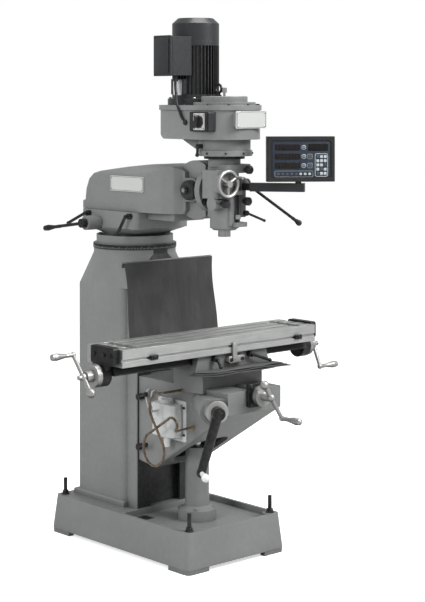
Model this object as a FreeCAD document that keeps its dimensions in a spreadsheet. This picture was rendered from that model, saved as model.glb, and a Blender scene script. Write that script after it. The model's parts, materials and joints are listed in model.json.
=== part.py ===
"""Vertical turret milling machine with a knee, built as separate pieces.

The frame: +X is the operator's right, +Y points from the operator to the column, +Z is up.
The origin is on the floor, at the centre of the base.  Lengths are millimetres.
"""

import FreeCAD
import Part
import Sketcher

import math
import os
import re
from types import SimpleNamespace

from FreeCAD import Placement, Rotation, Vector

# ---------------------------------------------------------------- driving dimensions

DIMS = {
    # base casting
    "base_half_width": 248, "base_half_depth": 431, "base_height": 159, "base_flare": 13,
    "base_wall": 14, "foot_height": 18, "foot_length": 120, "tray_floor": 136, "tray_rear": -16,
    "level_bolt_radius": 8, "level_bolt_x": 218, "level_bolt_y": 401, "level_bolt_top": 228,
    # column
    "column_half_width": 170, "column_back": 385, "column_step": 60, "way_half_width": 152,
    "column_shoulder": 1059, "neck_start": 1196, "neck_top": 1236, "neck_radius": 174,
    "turret_axis": 201, "slot_half_mouth": 78, "slot_half_back": 98, "slot_depth": 30,
    "run_gap": 0.5,
    # screw pedestal and elevating screw
    "pedestal_y": -200, "pedestal_radius": 49, "pedestal_flange": 78, "pedestal_top": 430,
    "flange_height": 42,
    "nut_length": 50, "lift_screw_radius": 16, "lift_screw_bottom": 95,
    # knee
    "knee_half_width": 142, "knee_front": -541, "knee_top": 704, "knee_face_bottom": 617,
    "knee_low_y": -96, "knee_low_z": 343, "knee_wall": 16,
    # saddle
    "saddle_half_length": 182, "saddle_front": -415, "saddle_back": -240, "saddle_step": 781,
    "saddle_top": 838.5, "cross_screw_z": 685, "screw_radius": 12, "screw_fit": 0.05,
    # table
    "table_left": -579, "table_right": 445, "table_front": -435, "table_back": -220,
    "table_top": 906, "table_bottom": 839, "table_axis": -327.5, "table_screw_z": 804,
    "tail_bottom": 803, "tail_half_top": 48, "tail_half_bottom": 62,
    "slot_pitch": 57, "slot_width": 16, "slot_head": 28,
    # turret and ram
    "turret_radius": 163, "spigot_radius": 60, "turret_half_width": 150,
    "turret_front": 18, "turret_back": 384,
    "turret_deck": 1374.5, "ram_bottom": 1375, "ram_slot_floor": 1344, "ram_tail_half": 80,
    "ram_half_width": 129, "ram_nose_half": 100, "ram_back": 394, "ram_nose": -214,
    "ram_flange_top": 1408, "ram_crown": 1574, "ram_rear_crown": 1536,
    # head pivots
    "nod_y": -235, "roll_z": 1476, "cheek_radius": 48, "cheek_inner": 42, "cheek_outer": 62,
    "nod_pin_radius": 16, "pin_fit": 0.05, "roll_radius": 90, "tongue_radius": 119,
    "roll_back": -285, "roll_split": -298, "roll_front": -314, "nut_circle": 77,
    # head
    "spindle_y": -365, "barrel_radius": 58, "barrel_bottom": 1328, "barrel_top": 1583,
    "quill_radius": 43, "nose_radius": 25, "nose_bottom": 1293,
    "gear_bottom": 1617, "gear_radius": 105, "belt_bottom": 1683, "belt_lip": 1799,
    "belt_top": 1819, "belt_radius": 143, "motor_y": -191, "belt_wall": 8,
    "motor_radius": 96, "motor_flange_radius": 114, "motor_flange_top": 1845, "motor_top": 2172,
    # readout
    "arm_z": 1494, "display_z": 1607,
}

doc = FreeCAD.newDocument("VerticalMill")
sheet = doc.addObject("Spreadsheet::Sheet", "Sizes")
for row, (alias, number) in enumerate(DIMS.items(), start=1):
    sheet.set(f"A{row}", alias)
    sheet.set(f"B{row}", str(number))
    sheet.setAlias(f"B{row}", alias)
doc.recompute()

size = SimpleNamespace(**DIMS)
ALIAS = re.compile(r"\b(" + "|".join(sorted(DIMS, key=len, reverse=True)) + r")\b")
TURNS = {
    "z": Rotation(),
    "x": Rotation(Vector(0, 1, 0), 90),
    "-x": Rotation(Vector(0, 1, 0), -90),
    "y": Rotation(Vector(1, 0, 0), -90),
    "-y": Rotation(Vector(1, 0, 0), 90),
    "-z": Rotation(Vector(1, 0, 0), 180),
}
nodes = {}

# ---------------------------------------------------------------- modelling helpers


def cell(text):
    """The text with each alias written as a reference to its cell."""
    return ALIAS.sub(r"Sizes.\1", str(text))


def number_of(text):
    """The present value of an expression over the cells."""
    return float(sheet.evalExpression(cell(text)))


def bind(item, **properties):
    for name, text in properties.items():
        item.setExpression(name, cell(text))
    return item


def at(item, x=0, y=0, z=0, turn="z"):
    """Put an item's own origin at x, y, z, with its own Z along turn."""
    rotation = TURNS[turn] if isinstance(turn, str) else turn
    item.Placement = Placement(Vector(number_of(x), number_of(y), number_of(z)), rotation)
    for axis, text in zip("xyz", (x, y, z)):
        item.setExpression(f"Placement.Base.{axis}", cell(text))
    return item


def box(x0, x1, y0, y1, z0, z1):
    item = doc.addObject("Part::Box", "Block")
    bind(item, Length=f"({x1})-({x0})", Width=f"({y1})-({y0})", Height=f"({z1})-({z0})")
    return at(item, x0, y0, z0)


def rod(radius, length, x=0, y=0, z=0, turn="z"):
    item = doc.addObject("Part::Cylinder", "Rod")
    bind(item, Radius=radius, Height=length)
    return at(item, x, y, z, turn)


def taper(radius, end_radius, length, x=0, y=0, z=0, turn="z"):
    item = doc.addObject("Part::Cone", "Taper")
    bind(item, Radius1=radius, Radius2=end_radius, Height=length)
    return at(item, x, y, z, turn)


def ball(radius, x, y, z, turn="z"):
    return at(bind(doc.addObject("Part::Sphere", "Ball"), Radius=radius), x, y, z, turn)


def ring(radius, thickness, x, y, z, turn="z"):
    item = bind(doc.addObject("Part::Torus", "Ring"), Radius1=radius, Radius2=thickness)
    return at(item, x, y, z, turn)


def prism(radius, length, x, y, z, turn="z", sides=6):
    item = doc.addObject("Part::Prism", "Hexagon")
    item.Polygon = sides
    bind(item, Circumradius=radius, Height=length)
    return at(item, x, y, z, turn)


def toward(start, end):
    """The turn that points a primitive's own axis from one point to another."""
    return Rotation(Vector(0, 0, 1), Vector(*end) - Vector(*start))


def stick(start, end, radius, end_radius=None):
    """A straight round bar between two points given as numbers."""
    turn = toward(start, end)
    start, end = Vector(*start), Vector(*end)
    if end_radius is None:
        return rod(radius, (end - start).Length, *start, turn=turn)
    return taper(radius, end_radius, (end - start).Length, *start, turn=turn)


def fuse(*items):
    joined = doc.addObject("Part::MultiFuse", "Joined")
    joined.Shapes = list(items)
    return joined


def group(*items):
    """Several separate solids that make one node."""
    together = doc.addObject("Part::Compound", "Together")
    together.Links = list(items)
    return together


def cut(base, *tools):
    rest = doc.addObject("Part::Cut", "Cut")
    rest.Base = base
    rest.Tool = tools[0] if len(tools) == 1 else fuse(*tools)
    return rest


def common(first, second):
    shared = doc.addObject("Part::Common", "Shared")
    shared.Base, shared.Tool = first, second
    return shared


def rounded(base, radius, pick):
    """Fillet the edges of base whose middle point and direction satisfy pick."""
    doc.recompute()
    chosen = []
    for index, edge in enumerate(base.Shape.Edges, start=1):
        middle = edge.valueAt((edge.FirstParameter + edge.LastParameter) / 2)
        along = edge.tangentAt((edge.FirstParameter + edge.LastParameter) / 2)
        if pick(middle, along):
            chosen.append((index, radius, radius))
    fillet = doc.addObject("Part::Fillet", "Rounded")
    fillet.Base = base
    fillet.Edges = chosen
    return fillet


def upright(middle, along):
    return abs(along.z) > 0.9


def outline_sketch(body, plane, points):
    """A closed outline on one of the body's origin planes, each corner bound to the cells."""
    sketch = body.newObject("Sketcher::SketchObject", body.Name + "Outline")
    support = next(f for f in body.Origin.OriginFeatures if f.Role == plane)
    sketch.AttachmentSupport = (support, [""])
    sketch.MapMode = "FlatFace"
    corners = [Vector(number_of(a), number_of(b), 0) for a, b in points]
    count = len(points)
    for index in range(count):
        sketch.addGeometry(Part.LineSegment(corners[index], corners[(index + 1) % count]))
    for index in range(count):
        sketch.addConstraint(
            Sketcher.Constraint("Coincident", index, 2, (index + 1) % count, 1))
    for index, (across, up) in enumerate(points):
        for kind, text in (("DistanceX", across), ("DistanceY", up)):
            place = sketch.addConstraint(
                Sketcher.Constraint(kind, index, 1, number_of(text)))
            sketch.setExpression(f"Constraints[{place}]", cell(text))
    return sketch


def slab(plane, points, depth):
    """An outline padded by depth, half to each side of its plane."""
    body = doc.addObject("PartDesign::Body", "Slab")
    sketch = outline_sketch(body, plane, points)
    pad = body.newObject("PartDesign::Pad", body.Name + "Pad")
    pad.Profile = sketch
    pad.Midplane = True
    bind(pad, Length=depth)
    return body


def turned(points, x=0, y=0, z=0, turn="z"):
    """A half outline of (radius, height) corners, revolved about its height axis."""
    body = doc.addObject("PartDesign::Body", "Turned")
    sketch = outline_sketch(body, "XZ_Plane", points)
    spin = body.newObject("PartDesign::Revolution", body.Name + "Spin")
    spin.Profile = sketch
    spin.ReferenceAxis = (sketch, ["V_Axis"])
    spin.Angle = 360
    return at(body, x, y, z, turn)


def node(name, item):
    item.Label = name
    nodes[name] = item
    return item


# ---------------------------------------------------------------- base and column


def make_base():
    width, depth, flare = "base_half_width", "base_half_depth", "base_flare"
    side = [(f"-{width}-{flare}", "foot_height"), (f"{width}+{flare}", "foot_height"),
            (width, "base_height"), (f"-{width}", "base_height")]
    end = [(f"-{depth}-{flare}", "foot_height"), (f"{depth}+{flare}", "foot_height"),
           (depth, "base_height"), (f"-{depth}", "base_height")]
    body = common(slab("XZ_Plane", side, "2*base_half_depth+4*base_flare"),
                  slab("YZ_Plane", end, "2*base_half_width+4*base_flare"))
    body = rounded(body, 22, upright)
    feet = []
    for sx in (-1, 1):
        for sy in (-1, 1):
            x0, x1 = sorted((sx * 150, sx * 259))
            y0, y1 = sorted((sy * 322, sy * 442))
            feet.append(rounded(box(x0, x1, y0, y1, 0, "foot_height+6"), 20,
                                lambda m, a, sx=sx, sy=sy: abs(a.z) > 0.9
                                and m.x * sx > 240 and m.y * sy > 420))
    tray = rounded(
        box("-base_half_width+base_wall", "base_half_width-base_wall",
            "-base_half_depth+base_wall", "tray_rear", "tray_floor", "base_height+5"),
        16, upright)
    hollow = box("-base_half_width+base_wall", "base_half_width-base_wall",
                 "-base_half_depth+base_wall", "base_half_depth-base_wall", -1,
                 "tray_floor-18")
    rear_hollow = box("-way_half_width+20", "way_half_width-20", 30, "column_back-20",
                      "tray_floor-20", "base_height-18")
    bosses = [rod(30, "base_height-tray_floor+4", sx * size.level_bolt_x,
                  -size.level_bolt_y, "tray_floor-4") for sx in (-1, 1)]
    shell = cut(fuse(body, *feet), tray, hollow, rear_hollow)
    drillings = [rod("level_bolt_radius+1", 300, sx * size.level_bolt_x,
                     sy * size.level_bolt_y, -20) for sx in (-1, 1) for sy in (-1, 1)]
    screw_hole = rod("lift_screw_radius+9", "tray_floor+10", 0, "pedestal_y", -5)
    drain = fuse(rod(11, 60, -160, -56, "tray_floor-30"),
                 rounded(box(-196, -125, -90, -22, "tray_floor-9", "tray_floor+2"), 6,
                         upright))
    corner_keep = [common(boss, box("-base_half_width+2", "base_half_width-2",
                                    "-base_half_depth+2", "tray_rear", 60, "base_height"))
                   for boss in bosses]
    node("base", cut(fuse(shell, *corner_keep), *drillings, screw_hole, drain))


def make_level_bolts():
    bolts = []
    for sx in (-1, 1):
        for sy in (-1, 1):
            x, y = sx * size.level_bolt_x, sy * size.level_bolt_y
            bolts.append(fuse(
                rod("level_bolt_radius", "level_bolt_top-6", x, y, 6),
                rod(17, 4, x, y, "base_height"),
                prism(14, 12, x, y, "base_height+3.5")))
    node("leveling_bolts", group(*bolts))


def blend(half, front, back, corner, square_z, radius, round_z):
    """A solid that blends a rounded rectangle at one height into a circle at another."""
    axis = size.turret_axis
    spans = [(half - corner, front + corner, -90), (half - corner, back - corner, 0),
             (-half + corner, back - corner, 90), (-half + corner, front + corner, 180)]
    corners = []
    for centre_x, centre_y, start in spans:
        circle = Part.Circle(Vector(centre_x, centre_y, square_z), Vector(0, 0, 1), corner)
        corners.append(Part.ArcOfCircle(
            circle, math.radians(start), math.radians(start + 90)).toShape())
    square = []
    for index, arc in enumerate(corners):
        following = corners[(index + 1) % 4]
        square.append(arc)
        square.append(Part.makeLine(arc.Vertexes[1].Point, following.Vertexes[0].Point))
    # the circle is split at the same eight bearings, so the two outlines match
    bearings = []
    for edge in square:
        point = edge.Vertexes[0].Point
        bearings.append(math.atan2(point.y - axis, point.x))
    arcs = []
    for index, bearing in enumerate(bearings):
        ahead = bearings[(index + 1) % len(bearings)]
        while ahead < bearing:
            ahead += 2 * math.pi
        circle = Part.Circle(Vector(0, axis, round_z), Vector(0, 0, 1), radius)
        arcs.append(Part.ArcOfCircle(circle, bearing, ahead).toShape())
    solid = Part.makeLoft([Part.Wire(square), Part.Wire(arcs)], True, False)
    if solid.Volume < 0:
        solid.reverse()
    item = doc.addObject("Part::Feature", "Blend")
    item.Shape = solid
    return item


def make_column():
    half, way = "column_half_width", "way_half_width"
    trunk = rounded(box(f"-{half}", half, "column_step", "column_back", "base_height",
                        "column_shoulder"), 30, upright)
    ways = rounded(box(f"-{way}", way, 0, "column_step+60", "base_height",
                       "column_shoulder-4"), 6,
                   lambda m, a: abs(a.z) > 0.9 and m.y < 1)
    foot = rounded(box(f"-{half}-9", f"{half}+9", "column_step-6", "column_back+8",
                       "base_height", "base_height+24"), 8, lambda m, a: m.z > 180)
    cap = blend(size.column_half_width, 1, size.column_back, 30, size.column_shoulder,
                size.neck_radius, size.neck_start)
    neck = rod("neck_radius", "neck_top-neck_start", 0, "turret_axis", "neck_start")
    slot = [("-slot_half_mouth", -1), ("slot_half_mouth", -1),
            ("slot_half_back", "slot_depth"), ("-slot_half_back", "slot_depth")]
    dovetail = slab("XY_Plane", slot, 2 * 1130)
    cavity = box("-way_half_width+26", "way_half_width-26", "column_step+20",
                 "column_back-20", "base_height-1", "column_shoulder-30")
    window = box(-95, 95, "column_back-30", "column_back+20", 330, 800)
    spigot_bore = rod("spigot_radius+screw_fit", 60, 0, "turret_axis", "neck_top-50")
    node("column", cut(fuse(trunk, ways, foot, cap, neck), dovetail, cavity, window,
                       spigot_bore))
    door = rounded(box(-115, 115, "column_back", "column_back+6", 310, 820), 12,
                   lambda m, a: abs(a.y) > 0.9)
    screws = [rod(7, 4, sx * 104, "column_back+6", z, "y")
              for sx in (-1, 1) for z in (325, 565, 805)]
    node("column_door", fuse(door, *screws))


def make_pedestal():
    tube = fuse(rod("pedestal_radius", "pedestal_top-tray_floor", 0, "pedestal_y", "tray_floor"),
                rod("pedestal_flange", "flange_height", 0, "pedestal_y", "tray_floor"),
                taper("pedestal_flange-6", "pedestal_radius", 14, 0, "pedestal_y",
                      "tray_floor+flange_height"))
    bore = rod("lift_screw_radius+9", "pedestal_top-tray_floor+2", 0, "pedestal_y",
               "tray_floor-1")
    seat = rod("pedestal_radius-12", "nut_length+1", 0, "pedestal_y",
               "pedestal_top-nut_length")
    bolts = []
    for index in range(4):
        angle = math.radians(45 + 90 * index)
        bolts.append(prism(9, 9, 64 * math.cos(angle),
                           size.pedestal_y + 64 * math.sin(angle),
                           "tray_floor+flange_height-1"))
    pedestal = cut(fuse(tube, *bolts), bore, seat)
    nut = cut(rod("pedestal_radius-12", "nut_length", 0, "pedestal_y",
                  "pedestal_top-nut_length"),
              rod("lift_screw_radius+0.05", "nut_length+2", 0, "pedestal_y",
                  "pedestal_top-nut_length-1"))
    node("screw_pedestal", group(pedestal, nut))


def make_turret_scale():
    band = cut(rod("neck_radius+3", 20, 0, "turret_axis", "neck_top-22"),
               rod("neck_radius", 22, 0, "turret_axis", "neck_top-23"))
    node("turret_scale", band)


def make_splash_guard():
    bar = fuse(box(-246, 246, -14, -8, 1156, 1178), box(-120, 120, -9, 4, 1160, 1174),
               *[rod(5, 4, x, -14, 1167, "-y") for x in (-190, -95, 0, 95, 190)])
    node("splash_bar", cut(bar, box(-125, 125, 1.5, 30, 1150, 1190)))
    sheet_line = [(-15, 1174), (-18, 1174), (-30, 1080), (-52, 960), (-73, 868),
                  (-70, 868), (-49, 960), (-27, 1080), (-15, 1150)]
    node("splash_sheet", slab("YZ_Plane", sheet_line, 488))


make_base()
make_level_bolts()
make_column()
make_pedestal()
make_turret_scale()
make_splash_guard()
# ---------------------------------------------------------------- knee

CRANK_BEARING = Vector(-0.507, -0.862, 0)
CRANK_TURN = Rotation(Vector(0, 0, 1), CRANK_BEARING)
CRANK_Z = 642


def flank(depth, inset):
    """Half width of the column's dovetail slot at a depth, less an inset."""
    rise = f"({depth})*(slot_half_back-slot_half_mouth)/slot_depth"
    return f"(slot_half_mouth+{rise}-{inset})"


def along_crank(distance):
    """A point on the knee crank's axis, at a distance from the elevating screw."""
    return (CRANK_BEARING.x * distance, size.pedestal_y + CRANK_BEARING.y * distance, CRANK_Z)


def make_knee():
    outline = [("-run_gap", "knee_top"), ("knee_front", "knee_top"),
               ("knee_front", "knee_face_bottom"), ("knee_low_y", "knee_low_z"),
               ("-run_gap", "knee_low_z+14")]
    block = rounded(slab("YZ_Plane", outline, "2*knee_half_width"), 10,
                    lambda m, a: abs(abs(m.x) - size.knee_half_width) < 1 and m.z < 560
                    and m.y < -20)
    hollow_line = [("knee_front+knee_wall", "knee_top-knee_wall"),
                   ("knee_front+knee_wall", "knee_face_bottom+10"),
                   ("knee_low_y-6", "knee_low_z+23"), (-20, "knee_low_z+29"),
                   (-20, "knee_top-knee_wall")]
    hollow = slab("YZ_Plane", hollow_line, "2*(knee_half_width-knee_wall)")
    room = "8.2"
    tongue_line = [(f"-{flank(-1, room)}", -1), (flank(-1, "run_gap"), -1),
                   (flank(29.5, "run_gap"), 29.5), (f"-{flank(29.5, room)}", 29.5)]
    tongue = common(slab("XY_Plane", tongue_line, "2*knee_top"),
                    box(-120, 120, -2, 31, "knee_low_z+14", "knee_top"))
    screw_boss = rod(42, 26, 0, "pedestal_y", "knee_top-40")
    crank_boss = rod(43, 205, *along_crank(180), turn=CRANK_TURN)
    # the wide part of the boss is cut flat on top, clear of the saddle's skirt
    wide_boss = common(rod(60, 175, *along_crank(180), turn=CRANK_TURN),
                       box(-400, 0, -700, -200, 500, "knee_top-20"))
    pedestal_room = rod("pedestal_radius+13", 155, 0, "pedestal_y", "knee_low_z-30")
    underside_opening = rounded(box(-100, 100, "pedestal_y-112", "pedestal_y+82",
                                    "knee_low_z-30", 520), 60, upright)
    nut_slot = box(-24, 24, "knee_front+knee_wall", "pedestal_y-47", "knee_top-31",
                   "knee_top+5")
    screw_bore = rod("lift_screw_radius+screw_fit", 60, 0, "pedestal_y", "knee_top-70")
    crank_bore = rod("screw_radius+screw_fit", 240, *along_crank(160), turn=CRANK_TURN)
    cross_bore = rod("screw_radius+screw_fit", 40, 0, "knee_front-10", "cross_screw_z", "y")
    shell = fuse(cut(block, hollow, underside_opening), tongue, screw_boss, crank_boss,
                 wide_boss)
    top_cap = box(-44, 44, -246, -156, "knee_top-2", "knee_top+5")
    node("knee", cut(shell, pedestal_room, nut_slot, screw_bore, crank_bore, cross_bore,
                     common(top_cap, rod(20, 20, 0, "pedestal_y", "knee_top-10"))))


def make_elevating_screw():
    screw = fuse(
        rod("lift_screw_radius", "knee_top-14-lift_screw_bottom", 0, "pedestal_y",
            "lift_screw_bottom"),
        rod(28, 8.5, 0, "pedestal_y", "knee_top-49"),
        taper(46, 34, 14, 0, "pedestal_y", 600))
    node("elevating_screw", screw)


def grip(start, end, radius):
    """A turned handle: a slim stem swelling to a rounded end."""
    start, end = Vector(*start), Vector(*end)
    reach = (end - start).Length
    swell = [(0, 0), (radius * 0.6, 0), (radius * 0.55, reach * 0.3), (radius, reach * 0.72),
             (radius * 0.86, reach * 0.93), (0, reach)]
    return turned(swell, *start, turn=Rotation(Vector(0, 0, 1), end - start))


def make_knee_crank():
    shaft = rod("screw_radius", 390, *along_crank(40), turn=CRANK_TURN)
    pinion = taper(19, 26, 13, *along_crank(37), turn=CRANK_TURN)
    dial = taper(46, 43, 20, *along_crank(387), turn=CRANK_TURN)
    hub = rod(25, 38, *along_crank(405), turn=CRANK_TURN)
    centre = Vector(*along_crank(425))
    sideways = CRANK_BEARING.cross(Vector(0, 0, 1))
    tip = centre + sideways * 66 - Vector(0, 0, 224)
    arm = fuse(stick(centre, tip, 20, 17), ball(19, *tip, turn=toward(centre, tip)))
    arm_slab = common(arm, box(-700, 200, -900, -100, 380, 700))
    handle = grip(tip + CRANK_BEARING * 6, tip + CRANK_BEARING * 104, 15)
    stop = prism(12, 10, *along_crank(441), turn=CRANK_TURN)
    node("knee_crank", fuse(shaft, pinion, dial, hub, arm_slab, handle, stop))


def side_lever(name, z):
    """A clamp lever on the knee's left cheek: a hub along -X with an arm out to the front."""
    face = -size.knee_half_width
    hub = rod(13, 26, face, -22, z, "-x")
    arm = stick((face - 18, -22, z), (face - 40, -92, z + 22), 6)
    node(name, fuse(hub, arm, ball(10, face - 40, -92, z + 22)))


def make_lubricator():
    plate = rounded(box("-knee_half_width-5", "-knee_half_width", -300, -128, 478, 640), 8,
                    lambda m, a: abs(a.x) > 0.9)
    tank = rounded(box(-205, "-knee_half_width-5", -285, -150, 500, 628), 18, upright)
    cap = rod(26, 17, -176, -218, 628)
    gland = rod(14, 45, -176, -218, 455)
    handle = fuse(rod(5, 40, -205, -200, 600, "-x"), ball(8, -247, -200, 600))
    node("lubricator", fuse(plate, tank, cap, gland, handle))


def tube(points, radius):
    """A pipe that bends smoothly through points."""
    curve = Part.BSplineCurve()
    curve.interpolate([Vector(*point) for point in points])
    path = Part.Wire(curve.toShape())
    heading = curve.tangent(curve.FirstParameter)[0]
    section = Part.Wire(Part.makeCircle(radius, Vector(*points[0]), heading))
    pipe = doc.addObject("Part::Feature", "Pipe")
    pipe.Shape = path.makePipeShell([section], True, True)
    return pipe


def make_oil_lines():
    face = -size.knee_half_width
    loops = [
        [(-176, -218, 450), (-182, -215, 436), (-200, -190, 424), (-206, -150, 430),
         (-203, -110, 470), (-198, -96, 520), (-176, -100, 554), (face - 2, -110, 562)],
        [(-180, -290, 606), (-190, -318, 592), (-196, -345, 560), (-190, -352, 500),
         (-170, -340, 460), (face - 2, -320, 446)],
        [(face - 2, -60, 560), (-176, -70, 548), (-184, -96, 500), (-176, -130, 468),
         (face - 2, -150, 462)],
    ]
    node("oil_lines", group(*[tube(points, 4.5) for points in loops]))


def make_cross_feed():
    bracket = fuse(
        rounded(box(-45, 45, "knee_front-15", "knee_front", "cross_screw_z-46",
                    "cross_screw_z+46"), 8, lambda m, a: abs(a.y) > 0.9),
        rod(34, 11, 0, "knee_front-14", "cross_screw_z", "-y"))
    bolts = [prism(7, 6, sx * 35, "knee_front-15", f"cross_screw_z+({sz * 36})", "-y")
             for sx in (-1, 1) for sz in (-1, 1)]
    node("cross_feed_bracket",
         cut(fuse(bracket, *bolts),
             rod("screw_radius+screw_fit", 60, 0, "knee_front-40", "cross_screw_z", "y")))
    front = size.knee_front - 26
    z = size.cross_screw_z
    shaft = rod("screw_radius", "-255-(knee_front-99)", 0, "knee_front-99",
                "cross_screw_z", "y")
    dial = taper(41, 38, 24, 0, front - 26, "cross_screw_z", "y")
    hub = rod(17, 36, 0, front - 60, "cross_screw_z", "y")
    centre = (0, front - 66, z)
    swing = crank(centre, (-0.56, 0, 0.83), 64, 106, (0, -1, 0), 15)
    node("cross_screw", fuse(shaft, dial, hub, swing))


def crank(centre, direction, near, far, outward, radius):
    """A ball crank: a big ball behind the hub, a hub ball, and an arm ending in a handle."""
    centre, direction = Vector(*centre), Vector(*direction).normalize()
    outward = Vector(*outward)
    heavy = centre + direction * near
    tip = centre - direction * far
    handle = grip(tip + outward * 4, tip + outward * 106, radius)
    slant = toward(heavy, tip)
    return fuse(ball(18, *heavy, turn=slant), ball(15, *centre, turn=slant),
                stick(heavy, tip, 9, 7.5), ball(11, *tip, turn=slant), handle)


# ---------------------------------------------------------------- saddle and table


def dovetail(inset):
    """The table tail's section, widening downwards, grown by an inset on its flanks."""
    middle = "table_axis"
    return [(f"{middle}-tail_half_top-{inset}", "table_bottom+1"),
            (f"{middle}+tail_half_top+{inset}", "table_bottom+1"),
            (f"{middle}+tail_half_bottom+{inset}", f"tail_bottom-{inset}"),
            (f"{middle}-tail_half_bottom-{inset}", f"tail_bottom-{inset}")]


def make_saddle():
    lower = box("-knee_half_width-18", "knee_half_width+18", "saddle_front", "saddle_back",
                "knee_top-18", "saddle_step")
    way_room = box("-knee_half_width-run_gap", "knee_half_width+run_gap", -430, -230,
                   "knee_top-19", "knee_top+run_gap")
    upper_line = [("-saddle_half_length-18", "saddle_step-6"), ("saddle_half_length+18",
                  "saddle_step-6"), ("saddle_half_length", "saddle_top"),
                  ("-saddle_half_length", "saddle_top")]
    upper = common(slab("XZ_Plane", upper_line, 900),
                   box(-220, 220, "saddle_front", "saddle_back", "saddle_step-6",
                       "saddle_top"))
    body = fuse(cut(lower, way_room), upper)
    tail_slot = slab("YZ_Plane", dovetail("run_gap"), 500)
    groove = rod("screw_radius+2", 500, -250, "table_axis", "table_screw_z", "x")
    screw_nut = box(-38, 38, "table_axis-19", "table_axis+19", "tail_bottom-8",
                    "tail_bottom+22")
    cross_nut = box(-21, 21, "saddle_front+7", "saddle_front+37", "knee_top-42",
                    "knee_top+4")
    bores = [rod("screw_radius+screw_fit", 90, -45, "table_axis", "table_screw_z", "x"),
             rod("screw_radius+screw_fit", 60, 0, "saddle_front-10", "cross_screw_z", "y")]
    node("saddle", cut(fuse(cut(body, tail_slot, groove), screw_nut, cross_nut), *bores))


def make_saddle_fittings():
    front = "saddle_front"
    foot = rounded(box(-42, 42, "saddle_front-24", front, 797, 826), 10,
                   lambda m, a: abs(a.y) > 0.9)
    post = box(-24, -2, "table_front-9", "table_front-2", 810, 880)
    screws = [rod(8, 3, x, "saddle_front-24", 811, "-y") for x in (-30, 30)]
    leaves = []
    for index in range(3):
        low = 769 + 4 * index
        line = [(-240, front), (-240 + 8 * index, -440 + 8 * index),
                (-150 + 8 * index, -515 + 10 * index), (240 - 12 * index, -515 + 10 * index),
                (240 - 12 * index, front)]
        leaves.append(common(slab("XY_Plane", line, 1600),
                             box(-260, 260, -530, front, low, low + 1.8)))
    clamp = box(-150, 150, "saddle_front-8", front, "saddle_step-14", "saddle_step-0.5")
    node("saddle_fittings", group(fuse(foot, post, *screws), fuse(*leaves, clamp)))


def table_lock(name, x, tip):
    hub = rod(12, 22, x, "saddle_front", 822, "-y")
    elbow = (x, size.saddle_front - 24, 822)
    slant = toward(elbow, tip)
    node(name, fuse(hub, ball(8.5, *elbow, turn=slant), stick(elbow, tip, 6),
                    ball(7.5, *tip, turn=slant)))


def make_table():
    plate = box("table_left", "table_right", "table_front", "table_back", "table_bottom",
                "table_top")
    tail = common(slab("YZ_Plane", dovetail(0), "2*600"),
                  box("table_left", "table_right", -430, -230, "tail_bottom-2",
                      "table_bottom+1"))
    cuts = []
    for row in (-1, 0, 1):
        y = f"table_axis+({row})*slot_pitch"
        cuts.append(box("table_left-5", "table_right+5", f"{y}-slot_width/2",
                        f"{y}+slot_width/2", "table_top-24", "table_top+5"))
        cuts.append(box("table_left-5", "table_right+5", f"{y}-slot_head/2",
                        f"{y}+slot_head/2", "table_top-35", "table_top-22"))
    cuts.append(box("table_left-5", "table_right+5", "table_front-5", "table_front+7",
                    "table_bottom+21", "table_bottom+31"))
    for end in ("table_left+62", "table_right-98"):
        cuts.append(rounded(box(end, f"{end}+36", "table_front+18", "table_back-14",
                                "table_top-9", "table_top+5"), 12, upright))
    cuts.append(box("table_left-5", "table_right+5", "table_axis-21", "table_axis+21",
                    "tail_bottom-5", "tail_bottom+24"))
    node("table", cut(fuse(plate, tail), *cuts))


def make_end_brackets():
    brackets = []
    for side, face in ((-1, "table_left"), (1, "table_right")):
        turn = "x" if side > 0 else "-x"
        x0, x1 = (f"{face}-26", face) if side < 0 else (face, f"{face}+26")
        plate = rounded(box(x0, x1, "table_axis-88", "table_axis+52", "table_bottom+8",
                            "table_top+8"), 10, lambda m, a: abs(a.x) > 0.9)
        web = box(x0, x1, "table_axis-40", "table_axis+40", "table_screw_z-6",
                  "table_bottom+12")
        boss = rod(45, 41, face, "table_axis", "table_screw_z", turn)
        bolts = [prism(8, 6, f"{face}+({side * 26})", f"table_axis+({y})", "table_top-24",
                       turn) for y in (-66, -28, 30)]
        bore_start = f"{face}-60" if side < 0 else f"{face}-20"
        brackets.append(cut(fuse(plate, web, boss, *bolts),
                            rod("screw_radius+screw_fit", 80, bore_start, "table_axis",
                                "table_screw_z", "x")))
    node("table_end_brackets", group(*brackets))


def make_stop_dogs():
    dogs = []
    for x in (-428, 344):
        dogs.append(fuse(
            box(x - 16, x + 16, "table_front-10", "table_front", "table_bottom+17",
                "table_bottom+35"),
            box(x - 12, x + 12, "table_front-3", "table_front+6", "table_bottom+21.5",
                "table_bottom+30.5"),
            rod(6, 6, x, "table_front-9", "table_bottom+26", "-y")))
    node("table_stop_dogs", group(*dogs))


def make_table_screw():
    y, z = size.table_axis, size.table_screw_z
    left, right = size.table_left - 42, size.table_right + 42
    shaft = rod("screw_radius", right - left + 90, left - 45, "table_axis",
                "table_screw_z", "x")
    dials = [taper(45, 42, 20, left, "table_axis", "table_screw_z", "-x"),
             taper(45, 42, 20, right, "table_axis", "table_screw_z", "x")]
    hubs = [rod(22, 32, left - 19, "table_axis", "table_screw_z", "-x"),
            rod(22, 32, right + 19, "table_axis", "table_screw_z", "x")]
    left_swing = crank((left - 58, y, z), (0, -0.65, -0.76), 70, 100, (-1, 0, 0), 14)
    right_swing = crank((right + 58, y, z), (0, 0.4, 0.92), 70, 100, (1, 0, 0), 14)
    knobs = [rod(9, 24, left - 58, "table_axis", "table_screw_z", "-x"),
             rod(9, 24, right + 58, "table_axis", "table_screw_z", "x")]
    node("table_screw", fuse(shaft, *dials, *hubs, *knobs, left_swing, right_swing))


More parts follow.
